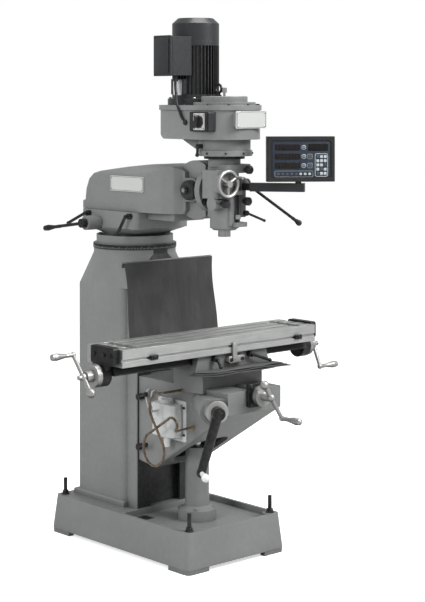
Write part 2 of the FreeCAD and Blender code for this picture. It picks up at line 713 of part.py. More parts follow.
make_knee()
make_elevating_screw()
make_knee_crank()
side_lever("knee_lock_upper", 624)
side_lever("knee_lock_lower", 419)
make_lubricator()
make_oil_lines()
make_cross_feed()
make_saddle()
make_saddle_fittings()
table_lock("table_lock_left", -105, (-98, -452, 791))
table_lock("table_lock_right", 85, (170, -452, 791))
make_table()
make_end_brackets()
make_stop_dogs()
make_table_screw()
# ---------------------------------------------------------------- turret and ram


def make_turret():
    disc = rod("turret_radius", 34, 0, "turret_axis", "neck_top")
    spigot = rod("spigot_radius", 38, 0, "turret_axis", "neck_top-36")
    waist = rod("turret_radius-39", 6, 0, "turret_axis", "neck_top+30")
    flare = blend(size.turret_half_width, size.turret_front, size.turret_back, 26, 1305,
                  size.turret_radius - 39, 1270)
    deck = rounded(box("-turret_half_width", "turret_half_width", "turret_front",
                       "turret_back", 1304, "turret_deck"), 26, upright)
    slot = box("-ram_tail_half-run_gap", "ram_tail_half+run_gap", "turret_front-10",
               "turret_back+10", "ram_slot_floor", "turret_deck+5")
    lever_boss = rod(30, 70, -150, 260, 1322, "-x")
    lever_bore = rod("screw_radius+screw_fit", 160, -60, 260, 1322, "-x")
    node("turret", cut(fuse(disc, spigot, waist, flare, deck, lever_boss), slot,
                       lever_bore))
    bolts = []
    for bearing in (20, 160, 200, 340):
        angle = math.radians(bearing)
        reach = size.turret_radius - 10
        x = reach * math.cos(angle)
        y = size.turret_axis + reach * math.sin(angle)
        bolts.append(fuse(rod(9, 3, x, y, "neck_top+34"), prism(8, 10, x, y, "neck_top+34")))
    node("turret_bolts", group(*bolts))


def make_ram_levers():
    shaft = rod("screw_radius", 150, -85, 260, 1322, "-x")
    hub = rod(19, 24, -221, 260, 1322, "-x")
    elbow = (-233, 260, 1322)
    tip = (-248, 470, 1292)
    arm = fuse(ball(14, *elbow), stick(elbow, tip, 7),
               grip((-244, 405, 1301), (-250, 512, 1286), 13))
    node("ram_pinion_lever", fuse(shaft, hub, arm))
    for name, root, elbow, tip in (
            ("ram_lock_front", (-150, 45, 1358), (-178, 45, 1358), (-193, 78, 1286)),
            ("ram_lock_rear", (-150, 320, 1358), (-178, 320, 1358), (-196, 412, 1312))):
        slant = toward(elbow, tip)
        node(name, fuse(rod(12, 16, *root, "-x"), stick(root, elbow, 7),
                        ball(8, *elbow, turn=slant), stick(elbow, tip, 6.5),
                        ball(7.5, *tip, turn=slant)))


def make_ram():
    side = [("ram_back", "ram_bottom"), ("ram_back", "ram_flange_top"),
            ("ram_back-17", "ram_flange_top+4"), (370, 1460), (350, 1503), (318, 1527),
            (276, "ram_rear_crown+2"), (110, 1560), (-20, "ram_crown"), (-150, 1568),
            (-196, 1548), (-200, "ram_bottom+20"), (-180, "ram_bottom")]
    plan = [("-ram_half_width", "ram_back"), ("-ram_half_width", -20), (-116, -110),
            ("-ram_nose_half+10", -158), ("-cheek_outer", -182), ("-cheek_outer", -205),
            ("cheek_outer", -205), ("cheek_outer", -182), ("ram_nose_half-10", -158),
            (116, -110), ("ram_half_width", -20), ("ram_half_width", "ram_back")]
    block = rounded(box("-ram_half_width", "ram_half_width", -220, "ram_back",
                        "ram_bottom", "ram_crown"), 52,
                    lambda m, a: abs(a.y) > 0.9 and m.z > size.ram_crown - 2)
    body = common(common(block, slab("YZ_Plane", side, 300)),
                  slab("XY_Plane", plan, "2*ram_crown+20"))
    tail = box("-ram_tail_half", "ram_tail_half", -150, "ram_back-8", "ram_slot_floor+0.5",
               "ram_bottom+6")
    cheeks = []
    for low, high in (("-cheek_outer", "-cheek_inner"), ("cheek_inner", "cheek_outer")):
        cheeks.append(rod("cheek_radius", f"({high})-({low})", low, "nod_y", "roll_z", "x"))
        cheeks.append(box(low, high, "nod_y", -190, "roll_z-cheek_radius",
                          "roll_z+cheek_radius"))
    swing = rod("tongue_radius+4", "2*cheek_inner", "-cheek_inner", "nod_y", "roll_z", "x")
    front_room = box("-cheek_inner", "cheek_inner", -330, "nod_y+40",
                     "roll_z-tongue_radius-4", "roll_z+tongue_radius+4")
    pin_bore = rod("nod_pin_radius+pin_fit", 200, -100, "nod_y", "roll_z", "x")
    hollow = box(-96, 96, -88, 330, "ram_bottom+30", 1500)
    node("ram", cut(fuse(body, tail, *cheeks), swing, front_room, pin_bore, hollow))
    cap_shape = [(0, 62.2), (40, 62.2), (40, 84), (34, 92), (15, 92), (15, 102), (0, 102)]
    caps = [turned(cap_shape, 0, "nod_y", "roll_z", turn) for turn in ("x", "-x")]
    pin = rod("nod_pin_radius", 128, -64, "nod_y", "roll_z", "x")
    node("nod_pivot", fuse(*caps, pin))
    badge = rounded(box("-ram_half_width-4", "-ram_half_width", -16, 201, 1458, 1522), 6,
                    lambda m, a: abs(a.x) > 0.9)
    node("ram_badge", badge)


def make_adapter():
    """A round tongue between the ram's cheeks, grooved on its rim, with a flange for the head."""
    round_tongue = rod("tongue_radius", 82, -41, "nod_y", "roll_z", "x")
    grooves = [cut(rod("tongue_radius+6", 8, x, "nod_y", "roll_z", "x"),
                   rod("tongue_radius-7", 10, x - 1, "nod_y", "roll_z", "x"))
               for x in (-27, -4, 19)]
    tongue = common(cut(round_tongue, *grooves),
                    box(-60, 60, "roll_split", "nod_y+tongue_radius+5",
                        "roll_z-tongue_radius-5", "roll_z+tongue_radius+5"))
    core = rod(68, "nod_y-roll_split", 0, "roll_split", "roll_z", "y")
    core = common(core, box(-41, 41, "roll_split", "nod_y", 1380, 1580))
    disc = rod("roll_radius", "roll_back-roll_split", 0, "roll_split", "roll_z", "y")
    node("head_adapter", cut(fuse(tongue, core, disc),
                             rod("nod_pin_radius+pin_fit", 100, -50, "nod_y", "roll_z", "x")))


make_turret()
make_ram_levers()
make_ram()
make_adapter()
# ---------------------------------------------------------------- head


def stadium(radius, z0, z1):
    """A straight-sided oval about the spindle axis and the motor axis."""
    height = f"({z1})-({z0})"
    return fuse(rod(radius, height, 0, "spindle_y", z0), rod(radius, height, 0, "motor_y", z0),
                box(f"-({radius})", radius, "spindle_y", "motor_y", z0, z1))


def make_head():
    disc = rod("roll_radius", "roll_split-roll_front", 0, "roll_front", "roll_z", "y")
    barrel = rod("barrel_radius", "barrel_top-barrel_bottom", 0, "spindle_y",
                 "barrel_bottom")
    chin = taper(46, "barrel_radius", 12, 0, "spindle_y", "barrel_bottom-8")
    neck = rod(65, "gear_bottom-barrel_top+10", 0, "spindle_y", "barrel_top-10")
    crown = rounded(box(-58, 90, -438, -318, 1549, "barrel_top"), 26, upright)
    web = rounded(box(-48, 48, -400, "roll_front+4", 1372, 1572), 14, upright)
    feed_case = rounded(box(-102, -20, -424, -336, 1450, 1562), 18, upright)
    feed_nose = rounded(box(-100, -44, -450, -410, 1472, 1546), 14,
                        lambda m, a: abs(a.y) > 0.9)
    cross_case = fuse(rod(21, 70, -30, -400, 1430, "-x"), rod(27, 14, -88, -400, 1430, "-x"))
    lever_case = fuse(rod(30, 46, 38, -385, 1500, "x"), rod(25, 10, 82, -385, 1500, "x"))
    front_pad = rounded(box(-26, 30, -430, -380, 1340, 1476), 8, upright)
    stop_channel = box(-6, 22, -440, -421, 1356, 1462)
    lower_lug = rounded(box(-12, 52, -448, -400, 1335, 1353), 8, upright)
    upper_lug = rounded(box(-12, 28, -446, -400, 1463, 1480), 8, upright)
    right_case = rounded(box(30, 66, -430, -350, 1372, 1524), 16, upright)
    solid = fuse(disc, barrel, chin, neck, crown, web, feed_case, feed_nose, cross_case,
                 lever_case, front_pad, lower_lug, upper_lug, right_case)
    bore = rod("quill_radius+screw_fit", "barrel_top-barrel_bottom-10", 0, "spindle_y",
               "barrel_bottom-12")
    upper_bore = rod(26, 100, 0, "spindle_y", "barrel_top-50")
    lever_bore = rod(10.05, 80, 44, -385, 1500, "x")
    wheel_bore = rod(9.05, 60, -72, -400, 1509, "-y")
    screw_bore = rod(5, 200, 8, -435, 1330)
    node("head_casting", cut(solid, stop_channel, bore, upper_bore, lever_bore, wheel_bore,
                             screw_bore))


def make_head_fasteners():
    parts = []
    for bearing in (35, 145, 215, 325):
        angle = math.radians(bearing)
        x = size.nut_circle * math.cos(angle)
        z = size.roll_z + size.nut_circle * math.sin(angle)
        parts.append(fuse(rod(13, 3, x, "roll_front", z, "-y"),
                          prism(11, 12, x, "roll_front", z, "-y")))
    collar = cut(rod(82, 12, 0, "spindle_y", "gear_bottom-12"),
                 rod(65.1, 14, 0, "spindle_y", "gear_bottom-13"))
    shank = rod(8, 14, 0, -330, "belt_top+36")
    eye = ring(17, 5, 0, -330, "belt_top+66", "x")
    lug = rod(13, 5, 0, -330, "belt_top+36")
    parts.append(collar)
    parts.append(fuse(shank, lug, eye))
    node("head_fasteners", group(*parts))


def make_gear_housing():
    wall = fuse(rod("gear_radius", "belt_bottom-gear_bottom", 0, "spindle_y", "gear_bottom"),
                rod("gear_radius+7", 22, 0, "spindle_y", "gear_bottom"))
    hollow = rod("gear_radius-14", 100, 0, "spindle_y", "gear_bottom+12")
    node("gear_housing", cut(wall, hollow, rod(24.05, 20, 0, "spindle_y", "gear_bottom-2")))
    brace_line = [(-268, "belt_bottom"), (-165, "belt_bottom"), (-268, "gear_bottom+18")]
    brace = cut(slab("YZ_Plane", brace_line, 110),
                rod("gear_radius+7", 80, 0, "spindle_y", "gear_bottom"))
    outer = stadium("belt_radius", "belt_bottom", "belt_lip")
    keel_line = [(-520, "belt_bottom"), (-150, "belt_bottom"), (-40, "belt_bottom+43"),
                 (-40, "belt_lip"), (-520, "belt_lip")]
    outer = common(outer, slab("YZ_Plane", keel_line, 320))
    pad = rounded(box(-68, 80, -512, -460, "belt_bottom+50", "belt_lip-6"), 6,
                  lambda m, a: abs(a.y) > 0.9)
    inner = stadium("belt_radius-belt_wall", "belt_bottom+10", "belt_lip+5")
    inner = common(inner, slab("YZ_Plane", [
        (-520, "belt_bottom+10"), (-156, "belt_bottom+10"), (-46, "belt_bottom+53"),
        (-46, "belt_lip+5"), (-520, "belt_lip+5")], 320))
    node("belt_housing", cut(fuse(outer, pad, brace), inner,
                             rod(24.05, 30, 0, "spindle_y", "belt_bottom-10")))


def make_belt_cover():
    lip = stadium("belt_radius+6", "belt_lip", "belt_top")
    step = rod(125, 12, 0, "spindle_y", "belt_top")
    cap = rod(93, 36, 0, "spindle_y", "belt_top")
    cap = rounded(cap, 4, lambda m, a: m.z > size.belt_top + 35)
    motor_seat = rod("motor_flange_radius+1", 60, 0, "motor_y", "belt_top")
    recess = rod(110, 14, 0, "spindle_y", "belt_lip-2")
    node("belt_cover", cut(fuse(lip, step, cap), motor_seat, recess,
                           rod(78, 60, 0, "motor_y", "belt_lip-20"),
                           rod(15, 80, 0, "spindle_y", "belt_lip-10")))
    badge = rounded(box(-75, 87, -517, -512, 1728, 1797), 6, lambda m, a: abs(a.y) > 0.9)
    node("head_badge", badge)


def make_motor():
    top = 2077
    flange = rod("motor_flange_radius", "motor_flange_top-belt_top", 0, "motor_y", "belt_top")
    barrel = rod("motor_radius-10", f"{top}-motor_flange_top+2", 0, "motor_y",
                 "motor_flange_top-2")
    fins = []
    count = 40
    for index in range(count):
        fin = box("motor_radius-14", "motor_radius", -1.6, 1.6, 0, 200)
        fins.append(at(fin, 0, 0, 0))
        turn = Rotation(Vector(0, 0, 1), 360 / count * index)
        start = turn.multVec(Vector(size.motor_radius - 14, -1.6, 0))
        at(fin, start.x, f"motor_y+({start.y})", "motor_flange_top+16", turn)
    rims = [rod("motor_radius", 17, 0, "motor_y", z) for z in ("motor_flange_top-1", top - 17)]
    cavity = rod("motor_radius-28", f"{top - 14}-motor_flange_top", 0, "motor_y",
                 "motor_flange_top+8")
    shaft_bore = rod(14.05, 400, 0, "motor_y", "belt_top-10")
    plate = box("-motor_radius-1", "-motor_radius+12", -232, -150, 1862, 1924)
    node("motor_body", cut(fuse(flange, barrel, *fins, *rims, plate), cavity, shaft_bore))
    shell = turned([(92, top), (96, top), (96, 2150), (72, "motor_top"), (0, "motor_top"),
                    (0, "motor_top-4"), (70, "motor_top-4"), (92, 2148)], 0, "motor_y")
    vents = [box(-60, 60, f"motor_y+({y})", f"motor_y+({y})+5", "motor_top-8",
                 "motor_top+3") for y in range(-45, 46, 15)]
    node("motor_fan_cover", cut(shell, *vents))
    box_shape = rounded(box(-182, -70, -253, -154, 1938, 2095), 8, upright)
    box_shape = cut(box_shape, rod("motor_radius+0.2", 300, 0, "motor_y", 1900))
    lid = rounded(box(-190, -182, -256, -151, 1935, 2098), 5, lambda m, a: abs(a.x) > 0.9)
    screws = [rod(4, 2, -190, y, z, "-x") for y in (-246, -161) for z in (1945, 2088)]
    gland = rod(11, 26, -130, -215, 1914)
    node("terminal_box", group(fuse(box_shape, gland), fuse(lid, *screws)))


# the motor pulley's steps: radius, foot and top
PULLEY_STEPS = ((40, 1703, 1722), (55, 1722, 1741), (70, 1741, 1760))
PULLEY_FOOT, PULLEY_TOP = 1703, 1760
UPPER_SPINDLE_RADIUS = 16


def make_drive():
    steps = [rod(radius, z1 - z0, 0, "motor_y", z0) for radius, z0, z1 in PULLEY_STEPS]
    rotor = fuse(rod(14, 430, 0, "motor_y", 1698), rod(58, 190, 0, "motor_y", 1866),
                 rod(26, 40, 0, "motor_y", 2086), rod(76, 4, 0, "motor_y", 2100), *steps)
    node("motor_rotor", rotor)
    steps = [rod(radius, z1 - z0, 0, "spindle_y", PULLEY_FOOT + PULLEY_TOP - z1)
             for radius, z0, z1 in PULLEY_STEPS]
    sleeve = rod(24, 110, 0, "spindle_y", 1600)
    node("spindle_pulley", cut(fuse(sleeve, *steps),
                               rod(UPPER_SPINDLE_RADIUS + 0.05, 200, 0, "spindle_y", 1590)))
    belt = cut(stadium(62, 1724, 1739), stadium(55.3, 1722, 1741))
    node("drive_belt", belt)


def make_switch():
    case = cut(rounded(box(-158, -122, -446, -334, 1716, 1793), 5,
                       lambda m, a: abs(a.x) > 0.9),
               stadium("belt_radius", 1700, 1799))
    plate = rounded(box(-161, -157, -442, -350, 1719, 1790), 4,
                    lambda m, a: abs(a.x) > 0.9)
    bore = rod(6.05, 60, -190, -394, 1755, "x")
    node("switch_box", cut(fuse(case, plate), bore))
    knob = fuse(rod(6, 16, -152, -394, 1755, "-x"), rod(25, 10, -161.5, -394, 1755, "-x"),
                rounded(box(-190, -170, -402, -386, 1731, 1779), 5,
                        lambda m, a: abs(a.x) > 0.9))
    node("switch_knob", knob)
    brake = fuse(rod(9, 22, "-gear_radius+0.5", -345, 1656, "-x"), ball(9, -126, -345, 1656),
                 stick((-126, -345, 1656), (-134, -352, 1622), 5), ball(8, -134, -352, 1622))
    node("spindle_brake_lever", brake)


def make_quill():
    quill = cut(rod("quill_radius", 214, 0, "spindle_y", "barrel_bottom-2"),
                rod(30, 220, 0, "spindle_y", "barrel_bottom-4"))
    node("quill", quill)
    spindle = cut(fuse(rod("nose_radius", 34, 0, "spindle_y", "nose_bottom"),
                       rod(20, 250, 0, "spindle_y", "nose_bottom+20"),
                       rod(UPPER_SPINDLE_RADIUS, 260, 0, "spindle_y", 1530)),
                  rod(5.5, 520, 0, "spindle_y", "nose_bottom-5"),
                  taper(16, 8, 80, 0, "spindle_y", "nose_bottom-1"))
    drawbar = fuse(rod(5, 500, 0, "spindle_y", 1376), rod(9, 6, 0, "spindle_y", 1790),
                   prism(11, 20, 0, "spindle_y", 1869))
    node("spindle", group(spindle, drawbar))
    rings = [cut(rod(30, 16, 0, "spindle_y", z), rod(20.05, 18, 0, "spindle_y", f"{z}-1"))
             for z in (1330, 1508)]
    node("spindle_bearings", group(*rings))


def make_quill_controls():
    root = (107, -385, 1500)
    tip = (203, -595, 1344)
    hub = fuse(rod(10, 50, 46, -385, 1500, "x"), rod(23, 14, 92.5, -385, 1500, "x"),
               ball(12, *root))
    start = Vector(*root) + (Vector(*tip) - Vector(*root)) * 0.84
    lever = fuse(hub, stick(root, tip, 6), grip(start, Vector(*tip), 12))
    node("quill_feed_lever", lever)
    wheel = fuse(ring(50, 8, -72, -466, 1509, "-y"), rod(14, 26, -72, -452, 1509, "-y"),
                 rod(9, 60, -72, -402, 1509, "-y"),
                 *[stick((-72, -466, 1509),
                         (-72 + 50 * math.sin(a), -466, 1509 + 50 * math.cos(a)), 6)
                   for a in (math.pi / 3, math.pi, 5 * math.pi / 3)])
    crank_pin = rod(6, 34, -72 + 44, -470, 1509 + 24, "-y")
    node("feed_handwheel", fuse(wheel, crank_pin))
    lock_root = (52, -431, 1388)
    node("quill_lock_lever", fuse(
        rod(11, 14, 52, -430.2, 1388, "-y"), ball(9, 52, -444, 1388),
        stick((52, -444, 1388), (128, -462, 1356), 5), ball(6.5, 128, -462, 1356)))
    screw = fuse(rod(5, 150, 8, -435, 1334), rod(12, 17, 8, -435, 1480.2))
    node("depth_stop_screw", screw)
    nut = cut(rod(12, 18, 8, -435, 1366), rod(5.05, 20, 8, -435, 1365))
    node("depth_stop_nut", nut)
    knob_line = [(0, 0), (9, 0), (9, 12), (17, 16), (17, 30), (8, 40), (0, 40)]
    knobs = [turned(knob_line, x, y, z, turn) for x, y, z, turn in (
        (46, -438, 1562, "-y"), (46, -430, 1436, "-y"), (-66, -421.3, 1430, "-y"))]
    node("feed_knobs", group(*knobs))


# ---------------------------------------------------------------- readout


def make_readout():
    """A square arm from the head, and the readout case on a post near the arm's end."""
    length, thick, post_along, case_along = 217, 34, 192, 200
    root = Vector(44, -470, size.arm_z)
    turn = Rotation(Vector(0, 0, 1), -53.13)
    along = turn.multVec(Vector(1, 0, 0))
    arm = doc.addObject("Part::Box", "Arm")
    bind(arm, Length=length, Width=thick, Height=thick)
    side = turn.multVec(Vector(0, -thick / 2, 0))
    at(arm, root.x + side.x, root.y + side.y, f"arm_z-{thick / 2}", turn)
    foot = box(36, 64, -474, -430, "arm_z-14", "arm_z+14")
    post_at = root + along * post_along
    post = rod(12, 60, post_at.x, post_at.y, "arm_z+10")
    node("dro_arm", fuse(arm, foot, post))
    width, deep, tall = 270, 52, 178
    facing = Rotation(Vector(0, 0, 1), -36)
    case = doc.addObject("Part::Box", "Display")
    bind(case, Length=width, Width=deep, Height=tall)
    middle = root + along * case_along
    corner = middle + facing.multVec(Vector(-width / 2, -deep / 2, 0))
    at(case, corner.x, corner.y, f"display_z-{tall / 2}", facing)
    case = rounded(case, 8, lambda m, a: abs(a.z) > 0.9)
    socket = rod(12.05, 80, post_at.x, post_at.y, "arm_z+8")
    node("dro_display", cut(case, socket))


make_head()
make_head_fasteners()
make_gear_housing()
make_belt_cover()
make_motor()
make_drive()
make_switch()
make_quill()
make_quill_controls()
make_readout()

# ---------------------------------------------------------------- check and write

doc.recompute()
for item in doc.Objects:
    if "Invalid" in item.State or "Error" in item.State:
        raise RuntimeError(f"{item.Name} ({item.Label}) failed: {item.State}")
os.makedirs("parts", exist_ok=True)
for name, item in nodes.items():
    if item.Shape.isNull() or not item.Shape.isValid():
        raise RuntimeError(f"{name} has no valid shape")
    item.Shape.exportStep(f"parts/{name}.step")
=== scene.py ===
"""The looks of a vertical milling machine: materials, fine detail, the rubber sheet and the studio.

Lengths are metres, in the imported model's frame: +X to the operator's right, +Y to the column, +Z up.
"""

import json
import math

import bmesh
import bpy
from mathutils import Matrix, Vector, noise


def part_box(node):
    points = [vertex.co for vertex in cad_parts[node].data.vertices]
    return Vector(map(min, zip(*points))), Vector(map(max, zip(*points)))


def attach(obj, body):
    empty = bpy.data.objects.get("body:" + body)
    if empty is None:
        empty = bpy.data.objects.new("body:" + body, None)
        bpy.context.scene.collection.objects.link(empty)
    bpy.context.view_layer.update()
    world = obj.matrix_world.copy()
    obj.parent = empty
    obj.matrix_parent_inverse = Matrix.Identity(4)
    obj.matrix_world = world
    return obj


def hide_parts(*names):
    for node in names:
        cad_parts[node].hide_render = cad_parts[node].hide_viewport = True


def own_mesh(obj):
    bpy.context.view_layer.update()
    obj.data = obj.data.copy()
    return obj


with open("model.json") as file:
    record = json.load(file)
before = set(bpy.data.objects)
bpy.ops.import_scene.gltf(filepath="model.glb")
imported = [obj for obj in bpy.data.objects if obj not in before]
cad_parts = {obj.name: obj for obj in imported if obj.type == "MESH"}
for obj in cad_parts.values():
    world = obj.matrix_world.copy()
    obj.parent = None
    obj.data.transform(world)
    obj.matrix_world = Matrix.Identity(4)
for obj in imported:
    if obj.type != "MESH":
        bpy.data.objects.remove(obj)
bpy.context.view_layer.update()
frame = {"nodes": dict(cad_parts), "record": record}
nodes = frame["nodes"]
MM = 0.001

# ---------------------------------------------------------------- materials


class Finish:
    """A node material under construction."""

    def __init__(self, name):
        self.material = bpy.data.materials.new(name)
        self.material.use_nodes = True
        self.tree = self.material.node_tree
        self.shader = self.tree.nodes["Principled BSDF"]
        self.place = self.add("ShaderNodeTexCoord").outputs["Object"]

    def feed(self, socket, value):
        if isinstance(value, bpy.types.NodeSocket):
            self.tree.links.new(value, socket)
        else:
            socket.default_value = value

    def add(self, kind, inputs=None, **settings):
        made = self.tree.nodes.new(kind)
        for key, value in settings.items():
            setattr(made, key, value)
        for key, value in (inputs or {}).items():
            self.feed(made.inputs[key], value)
        return made

    def set(self, **inputs):
        for key, value in inputs.items():
            self.feed(self.shader.inputs[key.replace("_", " ")], value)

    def stretched(self, scale):
        """The object's own coordinates, scaled by a different amount along each axis."""
        return self.add("ShaderNodeMapping", {"Vector": self.place, "Scale": scale}).outputs[0]

    def grain(self, scale, detail=3.0, rough=0.55, place=None):
        return self.add("ShaderNodeTexNoise", {
            "Vector": place or self.place, "Scale": scale, "Detail": detail,
            "Roughness": rough}).outputs["Fac"]

    def remap(self, value, low, high, new_low, new_high):
        return self.add("ShaderNodeMapRange", {
            0: value, 1: low, 2: high, 3: new_low, 4: new_high}).outputs[0]

    def math(self, operation, first, second):
        return self.add("ShaderNodeMath", {0: first, 1: second}, operation=operation).outputs[0]

    def times(self, first, second):
        return self.math("MULTIPLY", first, second)

    def mix(self, share, first, second):
        made = self.add("ShaderNodeMix", {0: share, 6: first, 7: second}, data_type="RGBA")
        return made.outputs[2]

    def bump(self, height, depth, strength, normal=None):
        inputs = {"Height": height, "Distance": depth, "Strength": strength}
        if normal:
            inputs["Normal"] = normal
        return self.add("ShaderNodeBump", inputs).outputs[0]

    def soft_edges(self, radius):
        return self.add("ShaderNodeBevel", {"Radius": radius}, samples=4).outputs[0]

    def edge_mask(self, rounded, reach):
        """Near 1 where the rounded normal leaves the true one, which is along edges."""
        true = self.add("ShaderNodeNewGeometry").outputs["Normal"]
        same = self.add("ShaderNodeVectorMath", {0: rounded, 1: true},
                        operation="DOT_PRODUCT").outputs["Value"]
        return self.remap(same, 1 - reach, 0.998, 1.0, 0.0)

    def crevice_shade(self, distance, darkest):
        # Painted shade: the colour darkens where ambient occlusion finds corners and recesses.
        hidden = self.add("ShaderNodeAmbientOcclusion", {"Distance": distance},
                          samples=4).outputs["AO"]
        return self.remap(hidden, 0.15, 0.85, darkest, 1.0)

    def along_axis(self, axis, low, high, new_low, new_high):
        """A value that changes between two places along one of the object's own axes."""
        place = self.add("ShaderNodeSeparateXYZ", {0: self.place}).outputs[axis]
        return self.remap(place, low, high, new_low, new_high)

    def underside_shade(self, darkest):
        """A grey amount that falls from 1 to darkest where a surface turns to face the floor."""
        # Painted shade: the colour darkens on faces that turn to the floor.
        normal = self.add("ShaderNodeNewGeometry").outputs["Normal"]
        height = self.add("ShaderNodeSeparateXYZ", {0: normal}).outputs["Z"]
        return self.remap(height, -0.75, -0.1, darkest, 1.0)

    def shade(self, colour, amount):
        """A colour multiplied by a grey amount."""
        grey = self.add("ShaderNodeCombineColor",
                        {0: amount, 1: amount, 2: amount}).outputs[0]
        made = self.add("ShaderNodeMix", {0: 1.0, 6: colour, 7: grey}, data_type="RGBA",
                        blend_type="MULTIPLY")
        return made.outputs[2]


def grey(level, alpha=1.0):
    return (level, level * 1.01, level, alpha)


def enamel(name, colour, rough=0.42, edge=0.0025, worn=None, cast=0.5, ways=False):
    """Machine paint over a casting: fine grain, slow waves, painted shade in corners, worn edges.

    With ways, the column's guide faces are scraped iron under a film of oil, dark partly as painted
    shade, and their slot takes the same dark as painted shade.
    """
    look = Finish(name)
    rounded = look.soft_edges(edge)
    patches = look.remap(look.grain(4, 4), 0.3, 0.7, 0.93, 1.07)
    mottle = look.remap(look.grain(46, 4), 0.3, 0.7, 0.96, 1.04)
    base = look.shade(colour, look.times(patches, mottle))
    # painted shade: darker in corners and recesses, from an occlusion mask
    base = look.shade(base, look.crevice_shade(0.045, 0.5))
    wear = look.times(look.edge_mask(rounded, 0.16),
                      look.remap(look.grain(70, 5), 0.45, 0.62, 0.0, 0.75))
    base = look.mix(wear, base, worn or tuple(min(1, c * 1.9) for c in colour[:3]) + (1,))
    waves = look.bump(look.grain(22, 2), 0.004, 0.16 * cast, rounded)
    grain = look.bump(look.grain(330, 2), 0.0006, 0.5 * cast, waves)
    look.set(Base_Color=base, Normal=grain, Metallic=0.0,
             Roughness=look.remap(look.grain(90, 3), 0.3, 0.7, rough - 0.06, rough + 0.08))
    look.set(Coat_Weight=0.12, Coat_Roughness=0.25)
    if ways:
        front = look.along_axis("Y", 0.5 * MM, 1.5 * MM, 1.0, 0.0)
        sides = look.math("ABSOLUTE", look.along_axis("X", -1, 1, -1, 1), 0.0)
        # painted shade: the slot's inner faces are made as dark as the bare ways
        slot = look.times(look.along_axis("Y", 31 * MM, 32 * MM, 1.0, 0.0),
                          look.remap(sides, 99 * MM, 100 * MM, 1.0, 0.0))
        bare = look.math("MAXIMUM", front, slot)
        # dark as oiled scraped iron, and partly painted shade
        scraped = look.shade((0.040, 0.041, 0.041, 1),
                             look.remap(look.grain(55, 4), 0.35, 0.65, 0.8, 1.25))
        look.set(Base_Color=look.mix(bare, base, scraped), Metallic=look.times(bare, 0.4))
    return look.material


def ground_metal(name, colour, rough, lay, edge=0.0012, metal=1.0, cross=0.0, oil_and_shade_below=None):
    """Machined metal scratched along lay, an axis name; painted shade in corners and underneath; below
    a height, oil and painted shade.
    """
    look = Finish(name)
    rounded = look.soft_edges(edge)
    scale = [900.0, 900.0, 900.0]
    scale["xyz".index(lay)] = 9.0
    lines = look.grain(1.0, 3, 0.6, look.stretched(scale))
    stain = look.remap(look.grain(9, 5), 0.35, 0.7, 1.0, 0.86)
    base = look.shade(colour, look.times(stain, look.remap(lines, 0.3, 0.7, 0.9, 1.08)))
    # painted shade: darker in corners and on faces that turn to the floor
    base = look.shade(base, look.crevice_shade(0.02, 0.45))
    base = look.shade(base, look.underside_shade(0.25))
    # below the height the colour is made dark: oil, and painted shade under an overhang
    if oil_and_shade_below:
        base = look.shade(base, look.along_axis("Z", oil_and_shade_below - 1 * MM, oil_and_shade_below, 0.10, 1.0))
    normal = look.bump(lines, 0.0003, 0.3, rounded)
    if cross:
        pits = look.grain(420, 2)
        normal = look.bump(pits, 0.0004, cross, normal)
    look.set(Base_Color=base, Metallic=metal, Normal=normal,
             Roughness=look.remap(lines, 0.25, 0.75, rough - 0.07, rough + 0.1))
    return look.material


def black_metal(name, level, rough):
    """Blackened steel, rubbed to bare metal on its edges, with an oily bloom."""
    look = Finish(name)
    rounded = look.soft_edges(0.0012)
    bloom = look.remap(look.grain(60, 5), 0.3, 0.7, 0.7, 1.5)
    base = look.shade(grey(level), bloom)
    wear = look.times(look.edge_mask(rounded, 0.2),
                      look.remap(look.grain(160, 4), 0.4, 0.6, 0.1, 0.8))
    base = look.mix(wear, base, grey(0.33))
    look.set(Base_Color=base, Metallic=0.75, Normal=look.bump(look.grain(500, 2), 0.0003, 0.25,
                                                              rounded),
             Roughness=look.remap(look.grain(110, 3), 0.3, 0.7, rough - 0.08, rough + 0.12))
    return look.material


def moulded(name, colour, rough=0.4, texture=0.25):
    """Moulded plastic with a fine spark texture."""
    look = Finish(name)
    rounded = look.soft_edges(0.0012)
    base = look.shade(colour, look.remap(look.grain(30, 3), 0.3, 0.7, 0.9, 1.1))
    look.set(Base_Color=base, Roughness=look.remap(look.grain(50, 2), 0.3, 0.7, rough - 0.05,
                                                   rough + 0.06),
             Normal=look.bump(look.grain(900, 1), 0.0002, texture, rounded))
    return look.material


def rubber(name, level, rough=0.36, shine=0.5):
    """Sheet rubber: dusty patches, a faint calender grain and a soft sheen."""
    look = Finish(name)
    dust = look.remap(look.grain(7, 6, 0.65), 0.42, 0.72, 0.0, 0.5)
    base = look.mix(dust, grey(level), grey(level * 2.3))
    streaks = look.grain(1.0, 3, 0.6, look.stretched((60, 60, 4)))
    look.set(Base_Color=base, Sheen_Weight=0.3 * shine, Specular_IOR_Level=shine,
             Roughness=look.remap(streaks, 0.3, 0.7, rough - 0.06, rough + 0.16),
             Normal=look.bump(look.grain(260, 3), 0.0006, 0.3,
                              look.bump(streaks, 0.002, 0.12)))
    return look.material


def oil_hose(name):
    """Clear hose with brown oil inside."""
    look = Finish(name)
    base = look.mix(look.remap(look.grain(60, 3), 0.4, 0.6, 0, 1),
                    (0.150, 0.100, 0.055, 1), (0.070, 0.044, 0.024, 1))
    look.set(Base_Color=base, Roughness=0.18, Coat_Weight=0.6, Coat_Roughness=0.08)
    return look.material


def enamelled_plate(name, colour, rough=0.3):
    """A thin printed plate: even satin colour with faint handling marks."""
    look = Finish(name)
    marks = look.remap(look.grain(120, 5), 0.55, 0.75, 1.0, 0.9)
    look.set(Base_Color=look.shade(colour, marks), Roughness=rough, Coat_Weight=0.1,
             Normal=look.bump(look.grain(500, 2), 0.0001, 0.15, look.soft_edges(0.0008)))
    return look.material


